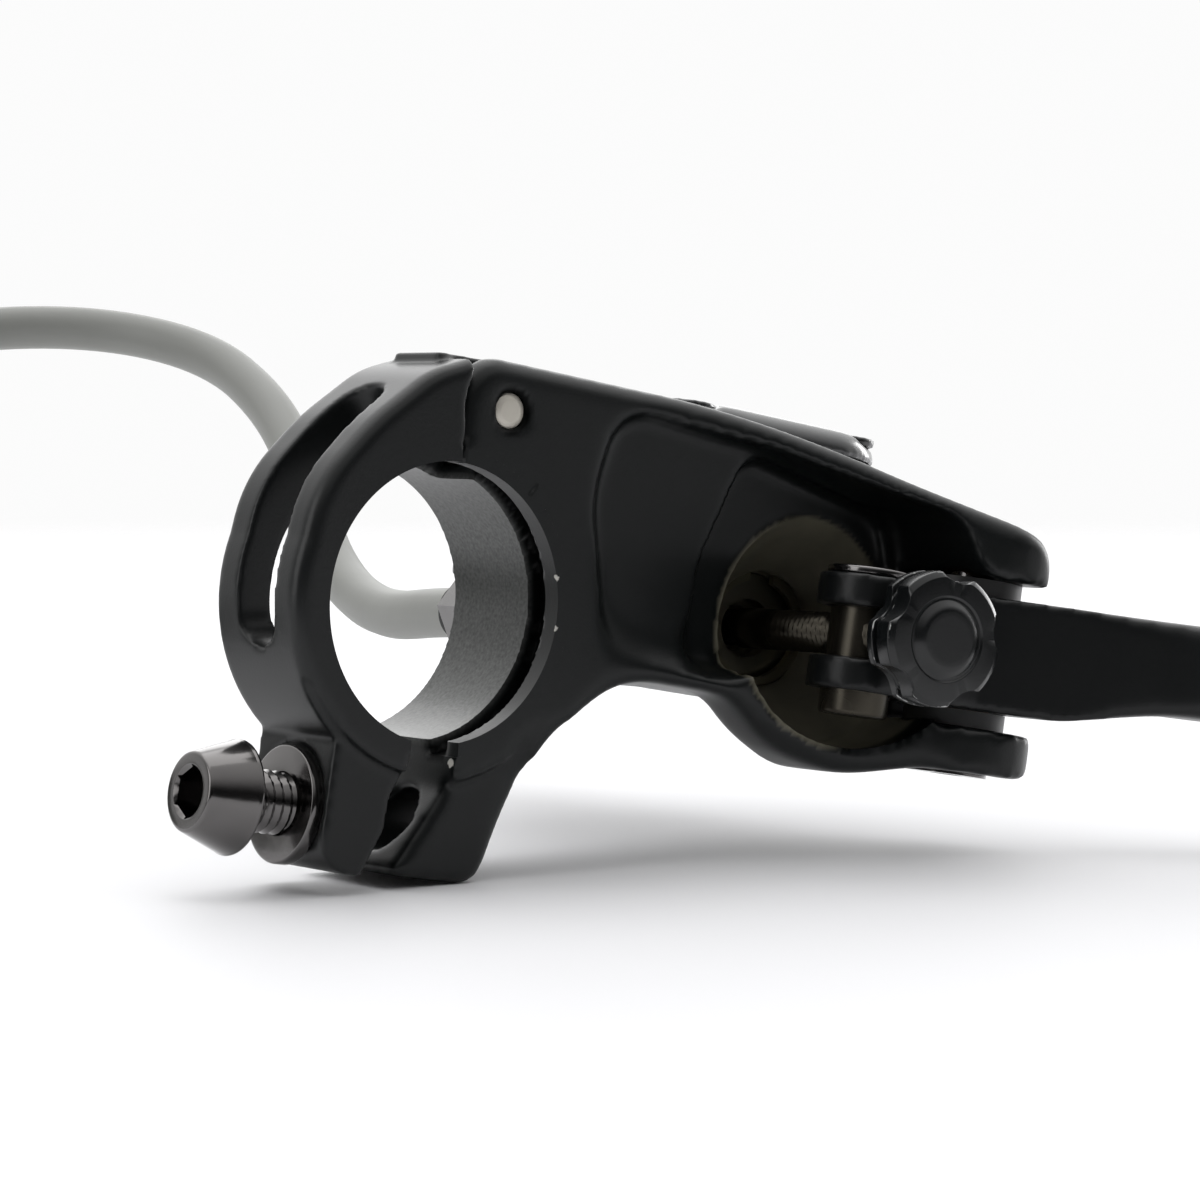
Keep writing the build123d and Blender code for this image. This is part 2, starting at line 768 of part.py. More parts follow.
# Piston, with a cup for the ball, two seal grooves and a hollow for the return spring.
piston_end = piston_start + piston_length
with BuildPart() as master_piston:
    with BuildSketch(station(piston_start)):
        Circle(piston_diameter / 2)
    extrude(amount=piston_length)
    with BuildSketch(station(piston_start)):
        Circle(ball_radius + 0.35)
    extrude(amount=cup_depth, mode=Mode.SUBTRACT)
    for groove in seal_stations:
        with BuildSketch(station(groove)):
            Circle(piston_diameter / 2 + 1)
            Circle(seal_inner, mode=Mode.SUBTRACT)
        extrude(amount=seal_width, mode=Mode.SUBTRACT)
    with BuildSketch(station(piston_end - piston_hollow)):
        Circle(spring_radius + 0.2)
    extrude(amount=piston_hollow, mode=Mode.SUBTRACT)
save(master_piston, "master_piston")

for groove, seal_name in zip(seal_stations, ("secondary_seal", "primary_cup")):
    with BuildPart() as seal:
        with BuildSketch(station(groove + 0.02)):
            Circle(piston_diameter / 2 + 0.02)
            Circle(seal_inner + 0.02, mode=Mode.SUBTRACT)
        extrude(amount=seal_width - 0.04)
    save(seal, seal_name)

# Return spring, as the sleeve that its coils fill when pressed, seated on the bore's end.
spring_start = piston_end - piston_hollow + piston_travel + 0.6
with BuildPart() as return_spring:
    with BuildSketch(station(spring_start)):
        Circle(spring_radius)
        Circle(spring_radius - 0.7, mode=Mode.SUBTRACT)
    extrude(amount=bore_end - spring_start)
save(return_spring, "return_spring")

# Reservoir lid, its bladder and four screws.
with BuildPart() as reservoir_lid:
    with BuildSketch(level(reservoir_top + bladder_flange)):
        with Locations((reservoir_mid_x, reservoir_mid_y)):
            RectangleRounded(
                reservoir_high_x - reservoir_low_x - 1.0,
                reservoir_high_y - reservoir_low_y - 1.0,
                reservoir_corner - 0.5,
            )
    extrude(amount=lid_thickness)
    fillet(reservoir_lid.faces().sort_by(Axis.Z)[-1].edges(), lid_round)
    with BuildSketch(level(reservoir_top + bladder_flange)):
        with Locations(*lid_screw_places):
            Circle(lid_screw_diameter / 2 + running_gap)
    extrude(amount=lid_thickness, mode=Mode.SUBTRACT)
    with BuildSketch(level(reservoir_top + bladder_flange + lid_thickness - 0.9)):
        with Locations(*lid_screw_places):
            Circle(lid_head_radius + 0.2)
    extrude(amount=2, mode=Mode.SUBTRACT)
save(reservoir_lid, "reservoir_lid")

with BuildPart() as reservoir_bladder:
    with BuildSketch(level(reservoir_top)):
        with Locations((reservoir_mid_x, reservoir_mid_y)):
            RectangleRounded(
                reservoir_high_x - reservoir_low_x - 1.6,
                reservoir_high_y - reservoir_low_y - 1.6,
                reservoir_corner - 0.8,
            )
        with Locations(*lid_screw_places):
            Circle(lid_screw_diameter / 2 + running_gap, mode=Mode.SUBTRACT)
    extrude(amount=bladder_flange)
    with BuildSketch(level(reservoir_top)):
        with Locations((reservoir_mid_x, reservoir_mid_y)):
            RectangleRounded(hollow_length_x - 1, hollow_length_y - 1, hollow_corner - 0.5)
    extrude(amount=-5)
save(reservoir_bladder, "reservoir_bladder")

with BuildPart() as lid_screws:
    head_low = reservoir_top + bladder_flange + lid_thickness - 0.9
    with BuildSketch(level(head_low)):
        with Locations(*lid_screw_places):
            Circle(lid_head_radius)
    extrude(amount=0.8)
    with BuildSketch(level(head_low)):
        with Locations(*lid_screw_places):
            Circle(lid_screw_diameter / 2 - 0.02)
    extrude(amount=-6.5)
    with BuildSketch(level(head_low + 0.8)):
        with Locations(*lid_screw_places):
            RegularPolygon(0.9, 6)
    extrude(amount=-0.6, mode=Mode.SUBTRACT)
save(lid_screws, "lid_screws")

# Bleed screw and its O-ring.
with BuildPart() as bleed_screw:
    with BuildSketch(side(reservoir_high_y + bleed_ring)):
        with Locations((reservoir_mid_x, bleed_z)):
            Circle(bleed_diameter / 2 + 1.2)
    extrude(amount=-1.4)
    with BuildSketch(side(reservoir_high_y - bleed_depth + 1)):
        with Locations((reservoir_mid_x, bleed_z)):
            Circle(bleed_diameter / 2 - 0.02)
    extrude(amount=-(bleed_depth - 1 + bleed_ring))
    with BuildSketch(side(reservoir_high_y + bleed_ring + 1.4)):
        with Locations((reservoir_mid_x, bleed_z)):
            RegularPolygon(1.25, 6, major_radius=False)
    extrude(amount=1.0, mode=Mode.SUBTRACT)
save(bleed_screw, "bleed_screw")

with BuildPart() as bleed_o_ring:
    with BuildSketch(side(reservoir_high_y)):
        with Locations((reservoir_mid_x, bleed_z)):
            Circle(bleed_diameter / 2 + 0.9)
            Circle(bleed_diameter / 2, mode=Mode.SUBTRACT)
    extrude(amount=-bleed_ring)
save(bleed_o_ring, "bleed_o_ring")

# Hose nut, the olive and barb inside it, and a short rubber boot.
nut_start = cylinder_end - port_depth + olive_length
nut_end = cylinder_end + nut_length
with BuildPart() as hose_nut:
    with BuildSketch(station(nut_start)):
        Circle(port_radius - 0.02)
    extrude(amount=cylinder_end - nut_start)
    with BuildSketch(station(cylinder_end)):
        RegularPolygon(nut_across / 2, 6, major_radius=False)
    extrude(amount=nut_length)
    with BuildSketch(station(nut_start)):
        Circle(hose_diameter / 2 + 0.02)
    extrude(amount=nut_end - nut_start, mode=Mode.SUBTRACT)
save(hose_nut, "hose_nut")

with BuildPart() as hose_olive:
    with BuildSketch(station(cylinder_end - port_depth)):
        Circle(port_radius - 0.05)
        Circle(hose_diameter / 2 + 0.02, mode=Mode.SUBTRACT)
    extrude(amount=olive_length)
save(hose_olive, "hose_olive")

with BuildPart() as hose_barb:
    with BuildSketch(station(cylinder_end - port_depth)):
        Circle(hose_bore / 2 - 0.02)
        Circle(0.7, mode=Mode.SUBTRACT)
    extrude(amount=barb_length)
save(hose_barb, "hose_barb")

with BuildPart() as hose_boot:
    with BuildSketch(station(nut_end)):
        Circle(boot_radius)
    with BuildSketch(station(nut_end + boot_length)):
        Circle(hose_diameter / 2 + 0.5)
    loft()
    with BuildSketch(station(nut_end)):
        Circle(hose_diameter / 2 + 0.02)
    extrude(amount=boot_length, mode=Mode.SUBTRACT)
save(hose_boot, "hose_boot")

# Hose: the free length as one tube along hand-chosen points, not turned by the rake.
tube_z = floor_z + (coil_layers - 0.5) * hose_diameter
route_start = station(cylinder_end - port_depth).origin.rotate(Axis.Y, rake)
route_exit = station(nut_end + boot_length + 3).origin.rotate(Axis.Y, rake)
hose_route = [
    route_start,
    route_exit,
    (49.6, 75.5, -6.6),
    (52.5, 89.0, -2.6),
    (57.2, 101.5, 6.2),
    (61.0, 114.0, 14.8),
    (61.5, 129.5, 21.6),
    (52.0, 143.0, 24.6),
    (35.5, 151.0, 23.4),
    (16.5, 152.5, 17.0),
    (-2.0, 148.5, 9.5),
    (-17.5, 141.5, 2.0),
    (-30.0, coil_y + coil_diameter / 2 + 1.4, -3.0),
    (coil_x, coil_y + coil_diameter / 2, tube_z),
]
runs = [(Vector(b) - Vector(a)).length for a, b in zip(hose_route, hose_route[1:])]
bends = []
for i in range(1, len(hose_route) - 1):
    before = Vector(hose_route[i]) - Vector(hose_route[i - 1])
    after = Vector(hose_route[i + 1]) - Vector(hose_route[i])
    half_turn = radians(before.get_angle(after)) / 2
    bends.append(0.45 * min(runs[i - 1], runs[i]) / tan(half_turn))
print("hose runs", [round(r, 1) for r in runs])
print("hose radii", [round(r, 1) for r in bends])
with BuildPart() as brake_hose:
    with BuildLine() as hose_line:
        FilletPolyline(*hose_route, radius=bends)
    hose_length = hose_line.wires()[0].length
    with BuildSketch(Plane(origin=hose_line.line @ 0, z_dir=hose_line.line % 0)):
        Circle(hose_diameter / 2)
    sweep()
    hose_section = brake_hose.faces().sort_by(Axis.Y)[0].area
    print("hose length", round(hose_length, 1))
    print("hose volume", round(brake_hose.part.volume, 1), round(hose_length * hose_section, 1))
    with BuildSketch(Plane(origin=hose_line.line @ 0, z_dir=hose_line.line % 0)):
        Circle(hose_bore / 2)
    extrude(amount=barb_length + 0.2, mode=Mode.SUBTRACT)
save_level(brake_hose, "brake_hose")

# Hose: the put-away length, as the closed ring that its turns fill.
with BuildPart() as hose_coil:
    with BuildSketch(level(floor_z)):
        with Locations((coil_x, coil_y)):
            Circle((coil_diameter + hose_diameter) / 2)
            Circle((coil_diameter - hose_diameter) / 2, mode=Mode.SUBTRACT)
    extrude(amount=coil_layers * hose_diameter)
save_level(hose_coil, "hose_coil")

# Hose: the short straight end, with its crimped ferrule and banjo fitting.
ferrule_radius = ferrule_diameter / 2
tail_z = floor_z + ferrule_radius + 0.1
tail_y = coil_y + coil_diameter / 2


def tail_plane(reach):
    # A plane square to the straight end, which points towards the rider.
    return Plane(origin=(coil_x - reach, tail_y, tail_z), x_dir=(0, 1, 0), z_dir=(-1, 0, 0))


with BuildPart() as hose_tail:
    with BuildSketch(tail_plane(0)):
        Circle(hose_diameter / 2)
    extrude(amount=tail_length)
save_level(hose_tail, "hose_tail")

with BuildPart() as hose_ferrule:
    with BuildSketch(tail_plane(tail_length - ferrule_grip)):
        Circle(ferrule_radius)
    extrude(amount=ferrule_length)
    with BuildSketch(tail_plane(tail_length - ferrule_grip)):
        Circle(hose_diameter / 2 + 0.02)
    extrude(amount=ferrule_grip, mode=Mode.SUBTRACT)
save_level(hose_ferrule, "hose_ferrule")

ferrule_end = tail_length - ferrule_grip + ferrule_length
with BuildPart() as banjo_fitting:
    with BuildSketch(level(tail_z - banjo_height / 2)):
        with Locations((coil_x - ferrule_end - banjo_reach, tail_y)):
            Circle(banjo_diameter / 2)
    extrude(amount=banjo_height)
    with BuildSketch(tail_plane(ferrule_end)):
        Circle(2.6)
    extrude(amount=banjo_reach)
    with BuildSketch(level(tail_z - banjo_height)):
        with Locations((coil_x - ferrule_end - banjo_reach, tail_y)):
            Circle(banjo_bore / 2)
    extrude(amount=2 * banjo_height, mode=Mode.SUBTRACT)
save_level(banjo_fitting, "banjo_fitting")
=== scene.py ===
import math

import bmesh
import bpy
import numpy as np
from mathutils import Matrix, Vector


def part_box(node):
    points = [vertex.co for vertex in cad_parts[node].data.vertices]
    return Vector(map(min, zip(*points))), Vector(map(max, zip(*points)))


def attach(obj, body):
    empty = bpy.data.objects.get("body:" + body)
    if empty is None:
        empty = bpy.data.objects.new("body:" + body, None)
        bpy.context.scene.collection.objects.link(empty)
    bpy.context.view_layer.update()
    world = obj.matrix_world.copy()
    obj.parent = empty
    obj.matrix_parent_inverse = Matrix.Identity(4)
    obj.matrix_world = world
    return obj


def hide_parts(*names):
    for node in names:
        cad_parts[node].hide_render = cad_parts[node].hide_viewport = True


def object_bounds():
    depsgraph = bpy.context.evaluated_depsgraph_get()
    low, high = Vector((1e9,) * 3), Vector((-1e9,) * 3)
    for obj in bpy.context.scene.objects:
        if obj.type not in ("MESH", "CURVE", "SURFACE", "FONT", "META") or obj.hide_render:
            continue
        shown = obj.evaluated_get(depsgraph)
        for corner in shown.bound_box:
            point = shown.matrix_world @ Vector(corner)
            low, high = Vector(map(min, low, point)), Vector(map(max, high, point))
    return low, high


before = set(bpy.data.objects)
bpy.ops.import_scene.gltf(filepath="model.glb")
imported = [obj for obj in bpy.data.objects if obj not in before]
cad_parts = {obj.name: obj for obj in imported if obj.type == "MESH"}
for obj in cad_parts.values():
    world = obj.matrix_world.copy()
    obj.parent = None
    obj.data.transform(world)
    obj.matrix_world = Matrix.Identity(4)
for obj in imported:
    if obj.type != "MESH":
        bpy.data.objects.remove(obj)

cadLow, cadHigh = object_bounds()
mm = 0.001
rake = math.radians(10)      # the lever lies nose-down by this much about the bar
tilt = math.radians(7)       # the master cylinder leans this much away from the bar
print("frame loaded,", len(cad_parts), "nodes")


# ---- places ----
def toRow(points):
    # from the lever's own frame in millimetres to the row frame, the shared one, in metres: a
    # turn about Y
    p = np.asarray(points, float)
    x = p[..., 0] * math.cos(rake) + p[..., 2] * math.sin(rake)
    z = -p[..., 0] * math.sin(rake) + p[..., 2] * math.cos(rake)
    return np.stack([x, p[..., 1], z], -1) * mm


def toLever(points):
    # the same turn undone
    p = np.asarray(points, float) / mm
    x = p[..., 0] * math.cos(rake) - p[..., 2] * math.sin(rake)
    z = p[..., 0] * math.sin(rake) + p[..., 2] * math.cos(rake)
    return np.stack([x, p[..., 1], z], -1)


# the part's own sizes, in millimetres in the lever's frame
barrelPoint = np.array([38.2, -13.0, 3.1])
strokeWay = np.array([math.sin(tilt), math.cos(tilt), 0.0])
acrossWay = np.array([math.cos(tilt), -math.sin(tilt), 0.0])
outWay = np.array([1.0, 0.0, 0.0])
outboardWay = np.array([0.0, 1.0, 0.0])
upWay = np.array([0.0, 0.0, 1.0])
boreRadius = 11.1        # the clamp's bore, about Y through the origin
grooveRadius = 12.2      # the wider groove behind the bore's near rim
mouthRadius = 9.5        # the wide mouth at the cylinder's open end
bodyFace = -7.2          # Y of the body's near face
bandFace = -8.1          # Y of the band's near face
hingeSpot = (4.0, 15.9)  # X and Z of the clamp's hinge


def onStroke(s):
    # the point s millimetres along the cylinder's axis from the barrel
    return barrelPoint + strokeWay * s


def fromStroke(points):
    # each point's distance along the cylinder's axis from the barrel, and away from that axis
    s = (points - barrelPoint) @ strokeWay
    return s, np.linalg.norm(points - barrelPoint - s[:, None] * strokeWay, axis=1)


def fromBar(points):
    # each point's distance from the bar's axis
    return np.hypot(points[:, 0], points[:, 2])


# ---- camera ----
cameraSet = {
    "spot": (-171.29, -254.81, 16.02),
    "yaw": 37.0,
    "down": 3.0,
    "lens": 115.92,
}
cameraData = bpy.data.cameras.new("camera")
cameraData.lens = cameraSet["lens"]
cameraData.sensor_width = 36
cameraData.clip_start = 0.01
cameraData.clip_end = 20
camera = bpy.data.objects.new("camera", cameraData)
bpy.context.scene.collection.objects.link(camera)
camera.location = Vector(cameraSet["spot"]) * mm
yaw, down = math.radians(cameraSet["yaw"]), math.radians(cameraSet["down"])
lookWay = Vector((math.sin(yaw) * math.cos(down), math.cos(yaw) * math.cos(down), -math.sin(down)))
camera.rotation_euler = lookWay.to_track_quat("-Z", "Y").to_euler()
bpy.context.scene.camera = camera


# ---- materials ----
def linear(code):
    # sRGB hex to linear colour
    parts = np.array([int(code[i:i + 2], 16) for i in (1, 3, 5)]) / 255
    low = parts / 12.92
    high = ((parts + 0.055) / 1.055) ** 2.4
    return tuple(np.where(parts <= 0.04045, low, high)) + (1.0,)


def addNode(tree, kind, values=None, links=None, **settings):
    node = tree.nodes.new(kind)
    for key, value in settings.items():
        setattr(node, key, value)
    for key, value in (values or {}).items():
        node.inputs[key].default_value = value
    for key, socket in (links or {}).items():
        tree.links.new(socket, node.inputs[key])
    return node


def newMaterial(name):
    made = bpy.data.materials.new(name)
    made.use_nodes = True
    tree = made.node_tree
    shader = tree.nodes["Principled BSDF"]
    place = addNode(tree, "ShaderNodeTexCoord").outputs["Object"]
    return made, tree, shader, place


def coatedMetal(
        name, colour, roughness, grain, grainDepth, metallic=0.0, coat=0.0, spread=0.35, sheen=0.5):
    # a coated or blasted skin: fine grain in the bump, soft clouds in colour and gloss;
    # grain and grainDepth are in millimetres, and spread is how far the gloss varies
    made, tree, shader, place = newMaterial(name)
    clouds = addNode(tree, "ShaderNodeTexNoise", {"Scale": 1 / (14 * mm), "Detail": 3.0}, {"Vector": place})
    tone = addNode(
        tree, "ShaderNodeMix", {6: linear(colour[0]), 7: linear(colour[1])},
        {"Factor": clouds.outputs["Fac"]}, data_type="RGBA",
    )
    tree.links.new(tone.outputs[2], shader.inputs["Base Color"])
    gloss = addNode(
        tree, "ShaderNodeMapRange",
        {"To Min": roughness * (1 - spread / 2), "To Max": roughness * (1 + spread / 2)},
        {"Value": clouds.outputs["Fac"]},
    )
    tree.links.new(gloss.outputs["Result"], shader.inputs["Roughness"])
    fine = addNode(tree, "ShaderNodeTexNoise", {"Scale": 1 / (grain * mm), "Detail": 2.0}, {"Vector": place})
    bump = addNode(
        tree, "ShaderNodeBump", {"Strength": 1.0, "Distance": grainDepth * mm},
        {"Height": fine.outputs["Fac"]},
    )
    tree.links.new(bump.outputs["Normal"], shader.inputs["Normal"])
    shader.inputs["Metallic"].default_value = metallic
    shader.inputs["Specular IOR Level"].default_value = sheen
    shader.inputs["Coat Weight"].default_value = coat
    shader.inputs["Coat Roughness"].default_value = 0.15
    return made, tree, shader, place, tone


# Satin black coat on forged aluminium: dark, slightly blue, with soft broad highlights.
castingMaterial, tree, shader, place, tone = coatedMetal(
    "satinCoatOnForging", ("#101313", "#0c0e0f"), 0.34, 0.22, 0.008, sheen=0.35)

# Bare patches on the casting come from attributes: the blasted saddle, the machined mouth, chips; one more
# attribute places painted shade.
saddle = addNode(tree, "ShaderNodeAttribute", attribute_name="saddle").outputs["Fac"]
mouth = addNode(tree, "ShaderNodeAttribute", attribute_name="mouth").outputs["Fac"]
chip = addNode(tree, "ShaderNodeAttribute", attribute_name="chip").outputs["Fac"]
paintedShadeMask = addNode(tree, "ShaderNodeAttribute", attribute_name="paintedShade").outputs["Fac"]
sparkle = addNode(tree, "ShaderNodeTexNoise", {"Scale": 1 / (0.3 * mm), "Detail": 2.0}, {"Vector": place})
blasted = addNode(
    tree, "ShaderNodeMix", {6: linear("#333433"), 7: linear("#696a69")},
    {"Factor": sparkle.outputs["Fac"]}, data_type="RGBA",
)
rings = addNode(tree, "ShaderNodeTexNoise", {"Scale": 1 / (3 * mm), "Detail": 4.0}, {"Vector": place})
machined = addNode(
    tree, "ShaderNodeMix", {6: linear("#5a574c"), 7: linear("#7e7a6a")},
    {"Factor": rings.outputs["Fac"]}, data_type="RGBA",
)
withSaddle = addNode(
    tree, "ShaderNodeMix", {},
    {"Factor": saddle, 6: tone.outputs[2], 7: blasted.outputs[2]}, data_type="RGBA")
withMouth = addNode(
    tree, "ShaderNodeMix", {},
    {"Factor": mouth, 6: withSaddle.outputs[2], 7: machined.outputs[2]}, data_type="RGBA")
flake = addNode(tree, "ShaderNodeTexNoise", {"Scale": 1 / (0.7 * mm), "Detail": 3.0}, {"Vector": place})
ragged = addNode(
    tree, "ShaderNodeMath", {}, {0: chip, 1: flake.outputs["Fac"]}, operation="MULTIPLY")
flaked = addNode(
    tree, "ShaderNodeMapRange", {"From Min": 0.30, "From Max": 0.36}, {"Value": ragged.outputs[0]})
withChip = addNode(
    tree, "ShaderNodeMix", {7: linear("#c9c7c0")},
    {"Factor": flaked.outputs["Result"], 6: withMouth.outputs[2]}, data_type="RGBA")
# painted shade: the groove behind the near rim and the ring round the hinge pin are painted near black and
# given little specular
withPaintedShade = addNode(
    tree, "ShaderNodeMix", {7: linear("#040505")},
    {"Factor": paintedShadeMask, 6: withChip.outputs[2]}, data_type="RGBA")
tree.links.new(withPaintedShade.outputs[2], shader.inputs["Base Color"])
paintedShadeSpecular = addNode(tree, "ShaderNodeMapRange", {"To Min": 0.35, "To Max": 0.04}, {"Value": paintedShadeMask})
tree.links.new(paintedShadeSpecular.outputs["Result"], shader.inputs["Specular IOR Level"])
metal = addNode(tree, "ShaderNodeMath", {1: 0.75}, {0: saddle}, operation="MULTIPLY")
tree.links.new(metal.outputs[0], shader.inputs["Metallic"])

# The same coat on the band, the blade and the reservoir's glossier lid.
bandMaterial, *_ = coatedMetal("satinCoatOnBand", ("#101213", "#0d0f0f"), 0.34, 0.20, 0.008, sheen=0.38)
bladeMaterial, *_ = coatedMetal("satinCoatOnBlade", ("#0b0d0f", "#080a0a"), 0.34, 0.22, 0.008, sheen=0.35)
lidMaterial, *_ = coatedMetal("satinCoatOnLid", ("#1c1e20", "#17191a"), 0.30, 0.25, 0.004, coat=0.8)

# Hard-anodised aluminium: a little glossier, with painted highlights as thin pale lines along its corners.
knobMaterial, tree, shader, place, tone = coatedMetal(
    "anodisedKnob", ("#0f1112", "#0b0d0e"), 0.25, 0.30, 0.003, coat=0.15, sheen=0.45)
edge = addNode(tree, "ShaderNodeAttribute", attribute_name="edge").outputs["Fac"]
highlightNoise = addNode(tree, "ShaderNodeTexNoise", {"Scale": 1 / (0.9 * mm), "Detail": 4.0}, {"Vector": place})
paintedHighlight = addNode(tree, "ShaderNodeMath", {}, {0: edge, 1: highlightNoise.outputs["Fac"]}, operation="MULTIPLY")
# painted highlight: pale colour laid in broken lines along the knob's corners
bright = addNode(
    tree, "ShaderNodeMapRange", {"From Min": 0.52, "From Max": 0.60}, {"Value": paintedHighlight.outputs[0]})
knobTone = addNode(
    tree, "ShaderNodeMix", {7: linear("#b9bab8")},
    {"Factor": bright.outputs["Result"], 6: tone.outputs[2]}, data_type="RGBA")
tree.links.new(knobTone.outputs[2], shader.inputs["Base Color"])

# Black zinc on steel: dark, glossy and uneven.
screwMaterial, *_ = coatedMetal(
    "blackZincSteel", ("#2b2a2a", "#858281"), 0.16, 1.4, 0.016, metallic=1.0, coat=0.6, spread=1.2)
# Turned steel, bright and slightly warm.
steelMaterial, *_ = coatedMetal(
    "turnedSteel", ("#dcd7cc", "#c8c3b8"), 0.36, 0.35, 0.004, metallic=0.35)
# Zinc plate with an olive passivation.
olivePlate, *_ = coatedMetal(
    "zincPlatedSteel", ("#6f6a56", "#8b8770"), 0.34, 0.35, 0.004, metallic=0.9)
# Bare turned aluminium, dulled.
pistonMaterial, *_ = coatedMetal(
    "turnedAluminium", ("#6e6a5a", "#858171"), 0.36, 0.40, 0.004, metallic=0.9)
# Oiled steel, brown-black.
darkSteel, *_ = coatedMetal("oiledSteel", ("#37342e", "#4c4840"), 0.26, 0.8, 0.006, metallic=0.9)
# Brass, oil-filled bronze, acetal, moulded rubber, anodised aluminium and the hose's nylon sheath.
brassMaterial, *_ = coatedMetal("turnedBrass", ("#b08d4c", "#a07f42"), 0.3, 0.4, 0.004, metallic=1.0)
bronzeMaterial, *_ = coatedMetal("oilFilledBronze", ("#8a6138", "#74512f"), 0.45, 0.3, 0.008, metallic=0.9)
acetalMaterial, *_ = coatedMetal("blackAcetal", ("#1b1b1b", "#202020"), 0.42, 0.5, 0.004)
rubberMaterial, *_ = coatedMetal("mouldedRubber", ("#151515", "#1c1c1c"), 0.62, 0.35, 0.012)
banjoMaterial, *_ = coatedMetal("anodisedBanjo", ("#1a1b1c", "#222324"), 0.30, 0.35, 0.006, metallic=0.4)
hoseMaterial, *_ = coatedMetal("nylonHoseSheath", ("#8b8c88", "#7f807c"), 0.45, 0.9, 0.010)
print("materials made")


# ---- mesh helpers ----
def newPiece(name, mesh, material, body, nodes, sharp=35):
    # sharp is the fold in degrees past which an edge stays crisp
    mesh.materials.clear()
    mesh.materials.append(material)
    mesh.polygons.foreach_set("use_smooth", np.ones(len(mesh.polygons), bool))
    mesh.set_sharp_from_angle(angle=math.radians(sharp))
    mesh.update()
    piece = bpy.data.objects.new(name, mesh)
    bpy.context.scene.collection.objects.link(piece)
    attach(piece, body)
    if nodes:
        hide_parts(*nodes)
    return piece


def gridMesh(name, grid, wrapU=True, wrapV=False):
    # quads between neighbours of a grid of points; wrap joins its last row to its first
    rows, columns = grid.shape[:2]
    u = np.arange(rows if wrapU else rows - 1)
    v = np.arange(columns if wrapV else columns - 1)
    a, b = np.meshgrid(u, v, indexing="ij")
    nextA, nextB = (a + 1) % rows, (b + 1) % columns
    faces = np.stack([
        a * columns + b, nextA * columns + b, nextA * columns + nextB, a * columns + nextB], -1)
    faces = faces.reshape(-1, 4)
    mesh = bpy.data.meshes.new(name)
    mesh.from_pydata(grid.reshape(-1, 3).tolist(), [], faces.tolist())
    work = bmesh.new()
    work.from_mesh(mesh)
    bmesh.ops.remove_doubles(work, verts=work.verts, dist=1e-7)
    bmesh.ops.recalc_face_normals(work, faces=work.faces)
    work.to_mesh(mesh)
    work.free()
    return mesh


def softProfile(corners, steps=5):
    # corners are (along, out, round); each round is an arc that touches both of its sides
    line = []
    for i, (along, out, radius) in enumerate(corners):
        here = np.array([along, out], float)
        if radius == 0 or i in (0, len(corners) - 1):
            line.append(here)
            continue
        before = np.array(corners[i - 1][:2], float) - here
        after = np.array(corners[i + 1][:2], float) - here
        before /= np.linalg.norm(before)
        after /= np.linalg.norm(after)
        half = math.acos(float(np.clip(before @ after, -1, 1))) / 2
        reach = radius / math.tan(half)
        middle = here + (before + after) / np.linalg.norm(before + after) * radius / math.sin(half)
        first, last = here + before * reach - middle, here + after * reach - middle
        sweep = math.atan2(first[0] * last[1] - first[1] * last[0], float(first @ last))
        for share in np.linspace(0, 1, steps):
            turn = sweep * share
            line.append(middle + np.array([
                first[0] * math.cos(turn) - first[1] * math.sin(turn),
                first[0] * math.sin(turn) + first[1] * math.cos(turn)]))
    return np.array(line)


def turned(profile, start, way, sideWay, segments=96, shape=None, closed=False):
    # a profile (along, out) carried round an axis; shape may change out by angle and place
    theta = np.linspace(0, 2 * math.pi, segments, endpoint=False)[:, None]
    along = np.repeat(profile[None, :, 0], segments, 0)
    out = np.repeat(profile[None, :, 1], segments, 0)
    if shape:
        out = shape(theta, along, out)
    way, sideWay = np.asarray(way, float), np.asarray(sideWay, float)
    upWay = np.cross(way, sideWay)
    ringWay = np.cos(theta)[..., None] * sideWay + np.sin(theta)[..., None] * upWay
    return toRow(np.asarray(start, float) + along[..., None] * way + out[..., None] * ringWay)


def neighbourMeans(count, edges):
    # returns a function that gives the mean of each vertex's neighbours
    a, b = edges[:, 0], edges[:, 1]
    degree = np.bincount(np.concatenate([a, b]), minlength=count)[:, None]

    def means(values):
        total = np.stack([
            np.bincount(a, values[b, k], count) + np.bincount(b, values[a, k], count) for k in range(3)], -1)
        return total / np.maximum(degree, 1)

    return means


def seat(points, radius, reach, where):
    # points within reach of a cylinder about the bar's axis are moved out or in onto it
    bar = fromBar(points)
    chosen = (np.abs(bar - radius) < reach) & where
    scale = radius / bar[chosen]
    points[chosen, 0] *= scale
    points[chosen, 2] *= scale
    return points


